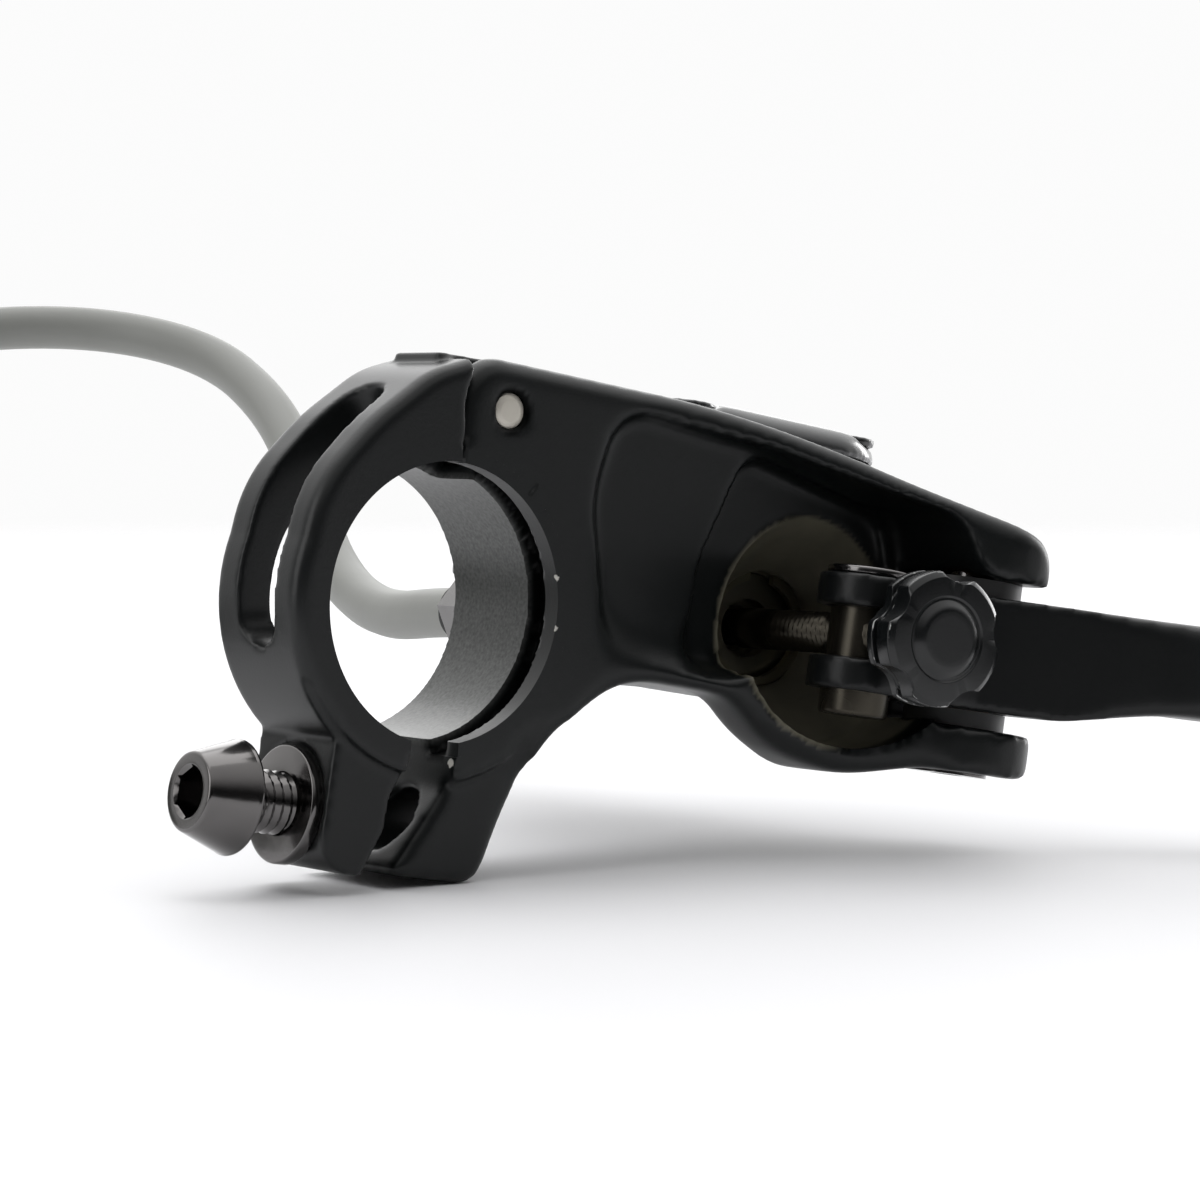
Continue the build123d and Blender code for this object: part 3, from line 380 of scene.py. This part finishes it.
def softCopy(name, node, voxel, passes, weigh, settle=None):
    # a copy of a machined solid with its edges eased: even quads, then each point moves
    # part of the way to its neighbours' mean, as far as weigh(points) from 0 to 1 allows;
    # settle then puts points back onto surfaces that have to stay true
    work = bmesh.new()
    work.from_mesh(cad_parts[node].data)
    bmesh.ops.remove_doubles(work, verts=work.verts, dist=1e-6)
    merged = bpy.data.meshes.new(name + "Merged")
    work.to_mesh(merged)
    work.free()
    holder = bpy.data.objects.new(name + "Holder", merged)
    bpy.context.scene.collection.objects.link(holder)
    remesh = holder.modifiers.new("evenQuads", "REMESH")
    remesh.mode = "VOXEL"
    remesh.voxel_size = voxel * mm
    graph = bpy.context.evaluated_depsgraph_get()
    mesh = bpy.data.meshes.new_from_object(holder.evaluated_get(graph))
    bpy.data.objects.remove(holder)
    bpy.data.meshes.remove(merged)
    mesh.name = name
    count = len(mesh.vertices)
    points = np.zeros(count * 3)
    mesh.vertices.foreach_get("co", points)
    points = points.reshape(-1, 3)
    edges = np.zeros(len(mesh.edges) * 2, int)
    mesh.edges.foreach_get("vertices", edges)
    means = neighbourMeans(count, edges.reshape(-1, 2))
    share = weigh(toLever(points))[:, None] * 0.5
    for _ in range(passes):
        points += (means(points) - points) * share
    if settle:
        points = toRow(settle(toLever(points)))
    low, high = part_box(node)
    points = np.clip(points, np.array(low), np.array(high))
    mesh.vertices.foreach_set("co", points.ravel())
    mesh.update()
    print(name, count, "points")
    return mesh, toLever(points)


def setShare(mesh, name, values):
    layer = mesh.attributes.new(name, "FLOAT", "POINT")
    layer.data.foreach_set("value", np.clip(values, 0, 1).astype(np.float32))


def between(values, low, high):
    # 0 below low, 1 above high, straight in between
    return np.clip((values - low) / (high - low), 0, 1)


# ---- hose ----
hoseSet = {
    "diameter": 5.0,
    "coilMiddle": (-44.0, 104.0),
    "coilRadius": 30.0,
    "coilTurns": 3,
    "floor": -22.3,
    "perTurn": 14,
    "tail": 28.0,
    "tailHeight": 3.85,
}
coilX, coilY = hoseSet["coilMiddle"]


def strokeToRowMm(s):
    return tuple(toRow(onStroke(s)) / mm)


hosePoints = [
    strokeToRowMm(66.0), strokeToRowMm(73.0), (49.6, 75.5, -6.6), (52.5, 89.0, -2.6), (57.2, 101.5, 6.2),
    (61.0, 114.0, 14.8), (61.5, 129.5, 21.6), (52.0, 143.0, 24.6), (35.5, 151.0, 23.4), (16.5, 152.5, 17.0),
    (-2.0, 148.5, 9.5), (-17.5, 141.5, 2.0), (-30.0, 135.4, -3.0),
]
# the coil's control points stand outside its radius, so that the curve between them lies on it
perTurn = hoseSet["perTurn"]
topHeight = hoseSet["floor"] + (hoseSet["coilTurns"] + 0.5) * hoseSet["diameter"]
controlRadius = hoseSet["coilRadius"] / math.cos(math.pi / perTurn)
for i in range(hoseSet["coilTurns"] * perTurn):
    turn = math.pi / 2 + (i + 0.5) * 2 * math.pi / perTurn
    hosePoints.append((
        coilX + controlRadius * math.cos(turn),
        coilY + controlRadius * math.sin(turn),
        topHeight - (i + 0.5) / perTurn * hoseSet["diameter"],
    ))
tailY = coilY + hoseSet["coilRadius"]
tailHeight = hoseSet["floor"] + hoseSet["tailHeight"]
hosePoints += [
    (coilX - 8, tailY, tailHeight - 1.2),
    (coilX - 20, tailY, tailHeight),
    (coilX - hoseSet["tail"], tailY, tailHeight),
]
hoseCurve = bpy.data.curves.new("brakeHose", "CURVE")
hoseCurve.dimensions = "3D"
hoseCurve.resolution_u = 10
hoseCurve.bevel_depth = hoseSet["diameter"] / 2 * mm
hoseCurve.bevel_resolution = 7
hoseCurve.use_fill_caps = True
hoseLine = hoseCurve.splines.new("NURBS")
hoseLine.points.add(len(hosePoints) - 1)
for point, spot in zip(hoseLine.points, hosePoints):
    point.co = (spot[0] * mm, spot[1] * mm, spot[2] * mm, 1)
hoseLine.order_u = 3
hoseLine.use_endpoint_u = True
hose = bpy.data.objects.new("hoseTube", hoseCurve)
bpy.context.scene.collection.objects.link(hose)
hoseCurve.materials.append(hoseMaterial)
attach(hose, "lever_body")
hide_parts("brake_hose", "hose_coil", "hose_tail")
print("hose laid")

# ---- body casting ----
bodySet = {"voxel": 0.395, "passes": 40, "general": 0.10, "shallow": 0.16, "crisp": 0.10, "seat": 0.37}


def weighBody(p):
    # mostly crisp, well rounded below and round the pocket's first step; each mask is a
    # product of ramps from 0 to 1 over the ranges given
    bar = fromBar(p)
    s, fromAxis = fromStroke(p)
    near = between(-p[:, 1], 2.0, 5.0)
    # under: the forging's underside; shallow: the pocket's first step; fade: where the
    # lug's set-back ends; lug: the lug itself, which is left out of under
    under = near * between(-p[:, 2], -3.0, 0.0) * between(bar, 15.0, 18.0) * between(-p[:, 0], -47.0, -44.0)
    shallow = near * between(-p[:, 0], -26.0, -23.0) * between(bar, 14.6, 16.5)
    shallow = shallow * between(-p[:, 2], -16.8, -15.2)
    fade = near * between(p[:, 0], 8.2, 9.6) * between(-p[:, 2], 7.0, 8.5) * between(bar, 12.0, 13.0)
    lug = between(-p[:, 2], 8.0, 10.0) * between(-p[:, 0], -9.0, -7.5)
    fade = fade * between(p[:, 2], -15.0, -12.8)
    share = bodySet["general"] + (1 - bodySet["general"]) * np.maximum(under * (1 - lug), fade)
    share = np.where(shallow > 0.5, np.maximum(share, bodySet["shallow"]), share)
    crisp = np.abs(bar - boreRadius) < 0.9
    crisp |= (np.abs(bar - grooveRadius) < 0.6) & (p[:, 1] < -2.9)
    crisp |= (np.abs(fromAxis - mouthRadius) < 0.7) & (s < 9)
    crisp |= (fromAxis < 6.0) & (s > 9)
    share[crisp] = bodySet["crisp"]
    return share


def settleBody(p):
    # the bore of the clamp, the groove behind its near rim and the cylinder's mouth stay round
    near = bodySet["seat"]
    p = seat(p, boreRadius, near, np.full(len(p), True))
    p = seat(p, grooveRadius, near, p[:, 1] < -3.0)
    s, away = fromStroke(p)
    foot = barrelPoint + s[:, None] * strokeWay
    chosen = (np.abs(away - mouthRadius) < near) & (s > -9) & (s < 8.2)
    p[chosen] = foot[chosen] + (p[chosen] - foot[chosen]) * (mouthRadius / away[chosen])[:, None]
    p[(fromBar(p) < 12.9) & (np.abs(p[:, 1] - bodyFace) < near), 1] = bodyFace
    return p


bodyMesh, p = softCopy(
    "bodyCasting", "master_body", bodySet["voxel"], bodySet["passes"], weighBody, settleBody)
bar = fromBar(p)
s, fromAxis = fromStroke(p)

# saddle: the blasted bore that holds the bar
setShare(bodyMesh, "saddle", between(-bar, -11.45, -11.25) * between(p[:, 1], -3.45, -3.25))

# mouth: the machined wall, which narrows along the axis from the mouth to the cylinder
wallRadius = np.interp(s, [-14, 8.5, 16, 17.5], [mouthRadius, mouthRadius, 4.9, 4.9])
inMouth = between(-(fromAxis - wallRadius), -0.28, -0.10) * between(s, 1.0, 1.6)
setShare(bodyMesh, "mouth", inMouth * between(-s, -20.5, -20))

# painted shade: near-black colour and little specular in the groove behind the near rim and in a ring round
# the hinge pin, where shade falls
groove = (between(bar, 11.35, 11.7) * between(-bar, -12.7, -12.5)
          * between(p[:, 1], -5.6, -5.4) * between(-p[:, 1], 2.9, 3.1))
fromPin = np.hypot(p[:, 0] - hingeSpot[0], p[:, 2] - hingeSpot[1])
pinRing = between(-fromPin, -2.0, -1.75) * between(-p[:, 1], 5.5, 6.0)
setShare(bodyMesh, "paintedShade", np.maximum(groove, pinRing))

# chip: X, Y, Z and size of each place where the coat has flaked off
chips = [
    (10.6, -7.2, 3.6, 0.5), (11.2, -7.2, -0.5, 0.5),
    (3.3, -6.6, -12.2, 0.6), (3.35, -7.1, -14.4, 0.7),
]
chipShare = np.zeros(len(p))
for x, y, z, size in chips:
    away = np.linalg.norm(p - np.array([x, y, z]), axis=1)
    chipShare = np.maximum(chipShare, 1 - away / (size * 1.6))
setShare(bodyMesh, "chip", chipShare)
newPiece("bodyCasting", bodyMesh, castingMaterial, "lever_body", ["master_body"], 60)

# ---- clamp band ----
bandSet = {"voxel": 0.25, "passes": 8, "general": 0.4, "crisp": 0.10, "seat": 0.24, "flat": 0.22}


def weighBand(p):
    # even easing all over, and much less near the bore
    share = np.full(len(p), bandSet["general"])
    share[np.abs(fromBar(p) - boreRadius) < 0.5] = bandSet["crisp"]
    return share


def settleBand(p):
    # the bore stays round and its near rim flat
    p = seat(p, boreRadius, bandSet["seat"], np.full(len(p), True))
    p[(fromBar(p) < 12.2) & (np.abs(p[:, 1] - bandFace) < bandSet["flat"]), 1] = bandFace
    return p


bandMesh, _ = softCopy(
    "clampBand", "clamp_band", bandSet["voxel"], bandSet["passes"], weighBand, settleBand)
newPiece("clampBand", bandMesh, bandMaterial, "band", ["clamp_band"], 60)

# ---- lever blade ----
bladeSet = {"voxel": 0.32, "passes": 50, "general": 0.04, "soft": 0.9}


def weighBlade(p):
    # the crank stays crisp and the finger blade is eased all round
    reach = between(p[:, 0], 55.0, 64.0)
    return bladeSet["general"] + (bladeSet["soft"] - bladeSet["general"]) * reach


bladeMesh, _ = softCopy("leverBlade", "lever_blade", bladeSet["voxel"], bladeSet["passes"], weighBlade)
newPiece("leverBlade", bladeMesh, bladeMaterial, "lever", ["lever_blade"], 60)

# ---- reservoir lid ----
lidSet = {"voxel": 0.26, "passes": 8, "share": 0.8}
lidMesh, _ = softCopy(
    "reservoirLid", "reservoir_lid", lidSet["voxel"], lidSet["passes"],
    lambda p: np.full(len(p), lidSet["share"]))
newPiece("reservoirLid", lidMesh, lidMaterial, "lever_body", ["reservoir_lid"], 60)
lidScrewSet = {"voxel": 0.16, "passes": 10, "share": 0.8}
lidScrewMesh, _ = softCopy(
    "lidScrews", "lid_screws", lidScrewSet["voxel"], lidScrewSet["passes"],
    lambda p: np.full(len(p), lidScrewSet["share"]))
newPiece("lidScrews", lidScrewMesh, lidMaterial, "lever_body", ["lid_screws"], 60)
print("castings eased")

# ---- reach knob ----
knobSet = {
    "front": -12.5, "flutes": 5, "fluteRadius": 2.35, "fluteReach": 7.0, "fluteTurn": 12.0,
    "corner": 0.12, "beyond": 9.0, "segments": 480,
}
knobCorners = [
    (0.0, 0.0, 0), (0.0, 2.5, 0.9), (0.50, 3.15, 0.1), (0.52, 3.35, 0.05), (0.42, 3.5, 0.1),
    (0.50, 5.0, 0.2), (0.85, 5.5, 0.2), (2.45, 5.5, 0.15), (2.55, 4.9, 0.1), (3.0, 4.9, 0.1),
    (3.1, 5.5, 0.15), (3.85, 5.5, 0.15), (3.95, 2.9, 0.1), (7.45, 2.9, 0.15), (7.5, 1.85, 0),
]
knobLine = softProfile(knobCorners, 6)
# close the back of the collar onto the push-rod's thread
knobLine = np.vstack([knobLine, [7.5, 0.0]])
knobLine = np.vstack([[knobLine[0]], [[0.0, r] for r in (0.6, 1.2, 1.8)], knobLine[1:]])


def fluteKnob(theta, along, out):
    # out is held under the nearest flute's arc, where the line at this angle first meets the
    # arc's circle; the two blend as -k log(exp(-out / k) + exp(-wall / k))
    step = 2 * math.pi / knobSet["flutes"]
    off = (theta - math.radians(-knobSet["fluteTurn"]) + step / 2) % step - step / 2
    reach, cut = knobSet["fluteReach"], knobSet["fluteRadius"]
    inside = np.clip(cut ** 2 - (reach * np.sin(off)) ** 2, 0, None)
    beyond, soft = knobSet["beyond"], knobSet["corner"]
    wall = np.where(inside > 0, reach * np.cos(off) - np.sqrt(inside), beyond)
    wall = np.minimum(wall, beyond)
    lowered = -soft * np.log(np.exp(-out / soft) + np.exp(-wall / soft))
    return np.where(out > 3.7, lowered, out)


knobGrid = turned(
    knobLine, onStroke(knobSet["front"]), strokeWay, acrossWay, knobSet["segments"], fluteKnob)
knobMesh = gridMesh("reachKnob", knobGrid)
knobPoints = np.zeros(len(knobMesh.vertices) * 3)
knobMesh.vertices.foreach_get("co", knobPoints)
knobLever = toLever(knobPoints.reshape(-1, 3))
s, fromAxis = fromStroke(knobLever)
s = s - knobSet["front"]
# edge: thin painted highlight lines on the knob's three corners
rim = np.maximum(1 - np.abs(s - 0.76) / 0.13, 1 - np.abs(s - 2.45) / 0.10)
rim = np.maximum(rim, 1 - np.abs(s - 3.12) / 0.10)
setShare(knobMesh, "edge", np.where(fromAxis > 3.9, rim * 1.2, 0))
newPiece("reachKnob", knobMesh, knobMaterial, "push_rod", ["reach_knob"], 40)

# ---- push-rod: a threaded rod with a ball end ----
rodSet = {
    "radius": 1.75, "pitch": 0.7, "depth": 0.28, "start": -6.0, "neck": 18.2, "ballAt": 20.5, "ball": 1.6,
    "segments": 64}
threadAlong = np.linspace(rodSet["start"] + 0.1, rodSet["neck"], 470)
rodLine = np.vstack([
    [[rodSet["start"], 0.0]], np.stack([threadAlong, np.full(len(threadAlong), rodSet["radius"])], -1),
    softProfile([
        (rodSet["neck"], rodSet["radius"], 0), (18.5, 1.45, 0.1), (18.5, 1.2, 0), (19.4, 1.2, 0)], 4),
    [[rodSet["ballAt"] - rodSet["ball"] * math.cos(t), rodSet["ball"] * math.sin(t)]
     for t in np.linspace(0.85, math.pi, 18)],
])


def threadRod(theta, along, out):
    # a V thread: depth falls and rises once for each pitch along, and once for each turn
    phase = (along / rodSet["pitch"] - theta / (2 * math.pi)) % 1.0
    cutIn = rodSet["depth"] * (1 - np.abs(2 * phase - 1))
    threaded = between(along, -5.0, -4.6) * between(-along, -12.5, -11.5)
    return np.where(out > 0.1, out - cutIn * threaded, out)


rodMesh = gridMesh(
    "pushRod", turned(rodLine, onStroke(0), strokeWay, acrossWay, rodSet["segments"], threadRod))
newPiece("pushRod", rodMesh, darkSteel, "push_rod", ["pushrod"], 50)

# ---- barrel and its clip ----
barrelSet = {"low": -3.7, "high": 7.9, "radius": 2.9, "segments": 96}
barrelLine = softProfile([
    (barrelSet["low"], 0, 0), (barrelSet["low"], barrelSet["radius"], 0.35),
    (barrelSet["high"], barrelSet["radius"], 0.3), (barrelSet["high"], 0, 0)], 5)
barrelFoot = np.array([barrelPoint[0], barrelPoint[1], 0.0])
barrelMesh = gridMesh("barrelPin", turned(barrelLine, barrelFoot, upWay, outWay, barrelSet["segments"]))
newPiece("barrelPin", barrelMesh, darkSteel, "barrel", ["barrel_pin"], 50)
clipSet = {"low": 7.95, "high": 8.55, "radius": 3.6, "segments": 72}
clipLine = softProfile([
    (clipSet["low"], 0, 0), (clipSet["low"], clipSet["radius"], 0.12),
    (clipSet["high"], clipSet["radius"], 0.2), (clipSet["high"], 0, 0)], 4)
clipMesh = gridMesh("barrelClip", turned(clipLine, barrelFoot, upWay, outWay, clipSet["segments"]))
newPiece("barrelClip", clipMesh, screwMaterial, "barrel", ["barrel_clip"], 50)

# ---- clamp screw ----
screwSet = {
    "across": 3.6, "z": -17.2, "y": -1.45, "pitch": 0.8, "depth": 0.3, "shank": 2.5, "segments": 144}
screwCorners = [
    (-14.5, 0.0, 0), (-14.5, 1.0, 0), (-14.5, 1.8, 0), (-16.75, 1.8, 0), (-17.0, 2.15, 0.1),
    (-17.0, 3.1, 0.35), (-13.3, 4.45, 0.15), (-13.1, 4.55, 0.08), (-12.9, 4.5, 0.1),
    (-12.9, screwSet["shank"], 0),
]
screwHead = softProfile(screwCorners, 5)
screwThread = np.stack([np.linspace(-12.85, -1.4, 300), np.full(300, screwSet["shank"])], -1)
screwLine = np.vstack([screwHead, screwThread, [[-0.9, 2.0], [-0.9, 0.0]]])


def shapeScrew(theta, along, out):
    # the socket's wall is half the width across flats over the cosine of the angle from the
    # nearest flat's middle; the shank loses a V that falls and rises once for each pitch
    sixth = math.pi / 3
    off = (theta + sixth / 2) % sixth - sixth / 2
    hexagon = screwSet["across"] / 2 / np.cos(off)
    socket = (along > -16.8) & (along < -14.4) & (out > 1.5) & (out < 1.9)
    out = np.where(socket, hexagon, out)
    phase = (along / screwSet["pitch"] - theta / (2 * math.pi)) % 1.0
    cutIn = screwSet["depth"] * (1 - np.abs(2 * phase - 1))
    shank = (along > -12.6) & (along < -1.3)
    return np.where(shank, out - cutIn, out)


screwFoot = np.array([0.0, screwSet["y"], screwSet["z"]])
screwGrid = turned(screwLine, screwFoot, outWay, outboardWay, screwSet["segments"], shapeScrew)
screwMesh = gridMesh("clampScrew", screwGrid)
newPiece("clampScrew", screwMesh, screwMaterial, "screw", ["clamp_bolt"], 32)

# ---- washer ----
washerSet = {"left": -8.7, "right": -7.6, "hole": 2.55, "radius": 4.7, "segments": 96}
washerLine = softProfile([
    (washerSet["left"], washerSet["hole"], 0), (washerSet["left"], washerSet["radius"], 0.25),
    (washerSet["right"], washerSet["radius"], 0.1), (washerSet["right"], washerSet["hole"], 0),
    (washerSet["left"], washerSet["hole"], 0)], 5)
washerGrid = turned(washerLine, screwFoot, outWay, outboardWay, washerSet["segments"])
washerMesh = gridMesh("clampWasher", washerGrid)
newPiece("clampWasher", washerMesh, screwMaterial, "band", ["clamp_washer"], 32)

# ---- hinge pin: turned, with a shallow dome on each end ----
pinSet = {"half": 6.9, "radius": 1.45, "dome": 0.2, "flat": 0.9, "segments": 64}
pinShoulder = pinSet["half"] - pinSet["dome"]
pinLine = softProfile([
    (-pinSet["half"], 0, 0), (-pinSet["half"], pinSet["flat"], 0.4),
    (-pinShoulder, pinSet["radius"], 0.2), (pinShoulder, pinSet["radius"], 0.2),
    (pinSet["half"], pinSet["flat"], 0.4), (pinSet["half"], 0, 0)], 5)
pinFoot = np.array([hingeSpot[0], 0.0, hingeSpot[1]])
pinMesh = gridMesh("hingePin", turned(pinLine, pinFoot, outboardWay, outWay, pinSet["segments"]))
newPiece("hingePin", pinMesh, steelMaterial, "lever_body", ["hinge_pin"], 40)

# ---- stop ring in the mouth ----
stopSet = {"near": 18.05, "far": 19.85, "hole": 2.55, "radius": 4.85, "round": 0.2, "segments": 96}
stopLine = softProfile([
    (stopSet["near"], stopSet["hole"], 0), (stopSet["near"], stopSet["radius"], stopSet["round"]),
    (stopSet["far"], stopSet["radius"], stopSet["round"]),
    (stopSet["far"], stopSet["hole"], stopSet["round"]), (stopSet["near"], stopSet["hole"], 0)], 5)
stopMesh = gridMesh("stopRing", turned(stopLine, onStroke(0), strokeWay, acrossWay, stopSet["segments"]))
newPiece("stopRing", stopMesh, pistonMaterial, "lever_body", ["stop_ring"], 40)

# ---- return spring: a wire wound on a helix, whose wire thins away at each end ----
springSet = {
    "radius": 2.15, "wire": 0.35, "turns": 9, "start": 33.75, "end": 49.65, "around": 12, "perTurn": 36}
# u runs along the wire and v round it; the middle of the wire is at turn angle wind, and
# travel along the cylinder's axis, both in proportion to u
u = np.linspace(0, 1, springSet["turns"] * springSet["perTurn"])[:, None]
v = np.linspace(0, 2 * math.pi, springSet["around"], endpoint=False)[None, :]
wind = 2 * math.pi * springSet["turns"] * u
travel = springSet["start"] + (springSet["end"] - springSet["start"]) * u
wire = springSet["wire"] * np.sqrt(np.clip(np.minimum(u, 1 - u) * 400, 0, 1))
outward = np.cos(wind)[..., None] * acrossWay + np.sin(wind)[..., None] * upWay
springGrid = onStroke(0) + travel[..., None] * strokeWay + outward * springSet["radius"]
springGrid = springGrid + (wire * np.cos(v))[..., None] * outward
springGrid = springGrid + (wire * np.sin(v))[..., None] * strokeWay
springMesh = gridMesh("returnSpring", toRow(springGrid), wrapU=False, wrapV=True)
newPiece("returnSpring", springMesh, steelMaterial, "lever_body", ["return_spring"], 50)

# ---- hose boot, ferrule and banjo ----
fittingSegments = 72
bootLine = softProfile([
    (66.0, 2.52, 0), (66.0, 3.7, 0.4), (67.0, 3.55, 0.2), (67.3, 3.2, 0.1), (67.8, 3.45, 0.1),
    (68.3, 3.05, 0.1), (68.8, 3.25, 0.1), (69.3, 2.9, 0.1), (70.0, 3.0, 0.2), (70.0, 2.52, 0),
    (66.0, 2.52, 0)], 4)
bootMesh = gridMesh("hoseBoot", turned(bootLine, onStroke(0), strokeWay, acrossWay, fittingSegments))
newPiece("hoseBoot", bootMesh, rubberMaterial, "lever_body", ["hose_boot"], 50)


def tailTurned(profile, segments):
    # a turned piece on the hose's straight end, whose axis points along -X in the row frame
    theta = np.linspace(0, 2 * math.pi, segments, endpoint=False)[:, None]
    start = np.array([coilX, tailY, tailHeight])
    ring = np.stack([np.zeros_like(theta), np.cos(theta), np.sin(theta)], -1)
    way = np.array([-1.0, 0.0, 0.0])
    return (start + profile[None, :, 0, None] * way + profile[None, :, 1, None] * ring) * mm


ferruleLine = softProfile([
    (20.0, 2.52, 0), (20.0, 3.6, 0.3), (21.5, 3.75, 0.2), (21.9, 3.35, 0.1), (22.9, 3.35, 0.1),
    (23.3, 3.7, 0.1), (23.7, 3.35, 0.1), (24.7, 3.35, 0.1), (25.1, 3.75, 0.2), (30.2, 3.75, 0.5),
    (31.0, 2.9, 0.2), (31.0, 0, 0)], 4)
ferruleLine = np.vstack([ferruleLine, [[28.0, 0.0]], [[28.0, 2.52]], [[20.0, 2.52]]])
ferruleMesh = gridMesh("hoseFerrule", tailTurned(ferruleLine, fittingSegments))
ferrule = newPiece("hoseFerrule", ferruleMesh, olivePlate, "lever_body", ["hose_ferrule"], 50)
banjoSet = {"voxel": 0.3, "passes": 10, "share": 0.7}
banjoMesh, _ = softCopy(
    "banjoFitting", "banjo_fitting", banjoSet["voxel"], banjoSet["passes"],
    lambda p: np.full(len(p), banjoSet["share"]))
banjo = newPiece(
    "banjoFitting", banjoMesh, banjoMaterial, "lever_body", ["banjo_fitting"], 60)
print("fittings turned")

# ---- carried-over solids get their finishes ----
finishes = {
    "pivot_pin": screwMaterial, "pivot_sleeve": bronzeMaterial, "pivot_washers": acetalMaterial,
    "master_piston": pistonMaterial, "primary_cup": rubberMaterial, "secondary_seal": rubberMaterial,
    "cylinder_snap_ring": olivePlate, "reservoir_bladder": rubberMaterial,
    "bleed_screw": screwMaterial, "bleed_o_ring": rubberMaterial, "hose_nut": screwMaterial,
    "hose_olive": brassMaterial, "hose_barb": brassMaterial,
}
for node, finish in finishes.items():
    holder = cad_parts[node]
    if not holder.material_slots:
        holder.data.materials.append(finish)
    for spot in holder.material_slots:
        spot.material = finish
print("finishes given")

# ---- floor, backdrop and light ----
floorHeight = cadLow[2]
sceneSet = {
    "floor": "#e2e2e4", "fadeFrom": 0.30, "fadeTo": 0.95, "frontFrom": -0.22, "frontTo": -0.50,
    "world": 0.95, "front": 0.03, "zenith": 0.85, "backdrop": 0.97,
    "top": 1.8, "left": 1.7, "right": 1.6, "back": 1.4,
}
floorMesh = bpy.data.meshes.new("floor")
reach, frontReach = 3.0, 0.52   # metres behind and beside the part, and in front of it
flatLook = Vector((math.sin(yaw), math.cos(yaw), 0))
flatSide = Vector((math.cos(yaw), -math.sin(yaw), 0))
corners = [
    flatLook * ahead + flatSide * aside
    for ahead, aside in ((-frontReach, -reach), (-frontReach, reach), (reach, reach), (reach, -reach))
]
floorMesh.from_pydata([(c.x, c.y, floorHeight) for c in corners], [], [(0, 1, 2, 3)])
floorPiece = bpy.data.objects.new("floor", floorMesh)
bpy.context.scene.collection.objects.link(floorPiece)
floorMaterial, tree, shader, place = newMaterial("paleCardFloor")
shader.inputs["Base Color"].default_value = linear(sceneSet["floor"])
shader.inputs["Roughness"].default_value = 0.6
# behind and in front of the part the card gives way to the backdrop, so no edge shows
floorAhead = addNode(
    tree, "ShaderNodeVectorMath", {1: tuple(flatLook)}, {0: place}, operation="DOT_PRODUCT")
floorFade = addNode(
    tree, "ShaderNodeMapRange",
    {"From Min": sceneSet["fadeFrom"], "From Max": sceneSet["fadeTo"], "To Min": 1.0, "To Max": 0.0},
    {"Value": floorAhead.outputs["Value"]}, interpolation_type="SMOOTHSTEP")
frontFade = addNode(
    tree, "ShaderNodeMapRange",
    {"From Min": sceneSet["frontTo"], "From Max": sceneSet["frontFrom"], "To Min": 0.0, "To Max": 1.0},
    {"Value": floorAhead.outputs["Value"]}, interpolation_type="SMOOTHSTEP")
floorShare = addNode(
    tree, "ShaderNodeMath", {}, {0: floorFade.outputs["Result"], 1: frontFade.outputs["Result"]},
    operation="MULTIPLY")
tree.links.new(floorShare.outputs[0], shader.inputs["Alpha"])
floorMesh.materials.append(floorMaterial)

world = bpy.data.worlds.new("studio")
bpy.context.scene.world = world
world.use_nodes = True
tree = world.node_tree
tree.nodes.clear()
rays = addNode(tree, "ShaderNodeLightPath")
seen = addNode(
    tree, "ShaderNodeMath", {}, {0: rays.outputs["Is Camera Ray"], 1: rays.outputs["Is Transmission Ray"]},
    operation="MAXIMUM")
# the room is bright above and behind the part and dark behind the camera
roomWay = addNode(tree, "ShaderNodeTexCoord").outputs["Generated"]
roomParts = addNode(tree, "ShaderNodeSeparateXYZ", {}, {"Vector": roomWay})
roomAhead = addNode(
    tree, "ShaderNodeVectorMath", {1: tuple(flatLook)}, {0: roomWay}, operation="DOT_PRODUCT")
ahead = addNode(
    tree, "ShaderNodeMapRange",
    {"From Min": -0.5, "From Max": 0.7, "To Min": sceneSet["front"], "To Max": sceneSet["world"]},
    {"Value": roomAhead.outputs["Value"]}, interpolation_type="SMOOTHSTEP")
overhead = addNode(
    tree, "ShaderNodeMapRange",
    {"From Min": 0.25, "From Max": 0.9, "To Min": 0.0, "To Max": sceneSet["zenith"]},
    {"Value": roomParts.outputs["Z"]}, interpolation_type="SMOOTHSTEP")
total = addNode(
    tree, "ShaderNodeMath", {}, {0: ahead.outputs["Result"], 1: overhead.outputs["Result"]}, operation="ADD")
soft = addNode(
    tree, "ShaderNodeBackground", {"Color": (1, 1, 1, 1)}, {"Strength": total.outputs[0]})
pale = addNode(tree, "ShaderNodeBackground", {"Color": (1, 1, 1, 1), "Strength": sceneSet["backdrop"]})
both = addNode(
    tree, "ShaderNodeMixShader", {}, {0: seen.outputs[0], 1: soft.outputs[0], 2: pale.outputs[0]})
addNode(tree, "ShaderNodeOutputWorld", {}, {"Surface": both.outputs[0]})


def softLamp(name, spot, aim, size, power):
    lamp = bpy.data.lights.new(name, "AREA")
    lamp.shape = "RECTANGLE"
    lamp.size, lamp.size_y = size
    lamp.energy = power
    holder = bpy.data.objects.new(name, lamp)
    bpy.context.scene.collection.objects.link(holder)
    holder.location = spot
    holder.rotation_euler = (Vector(aim) - Vector(spot)).to_track_quat("-Z", "Y").to_euler()


middle = (0.02, 0.0, 0.0)
softLamp("topBox", (0.0, 0.15, 0.75), middle, (0.9, 0.7), sceneSet["top"])
softLamp("leftBox", (-0.75, 0.05, 0.30), middle, (0.5, 0.6), sceneSet["left"])
softLamp("rightBox", (0.85, 0.10, 0.16), middle, (0.22, 0.42), sceneSet["right"])
softLamp("backBox", (0.45, 0.75, 0.40), middle, (0.7, 0.5), sceneSet["back"])
bpy.context.scene.view_settings.view_transform = "Standard"
print("studio lit")
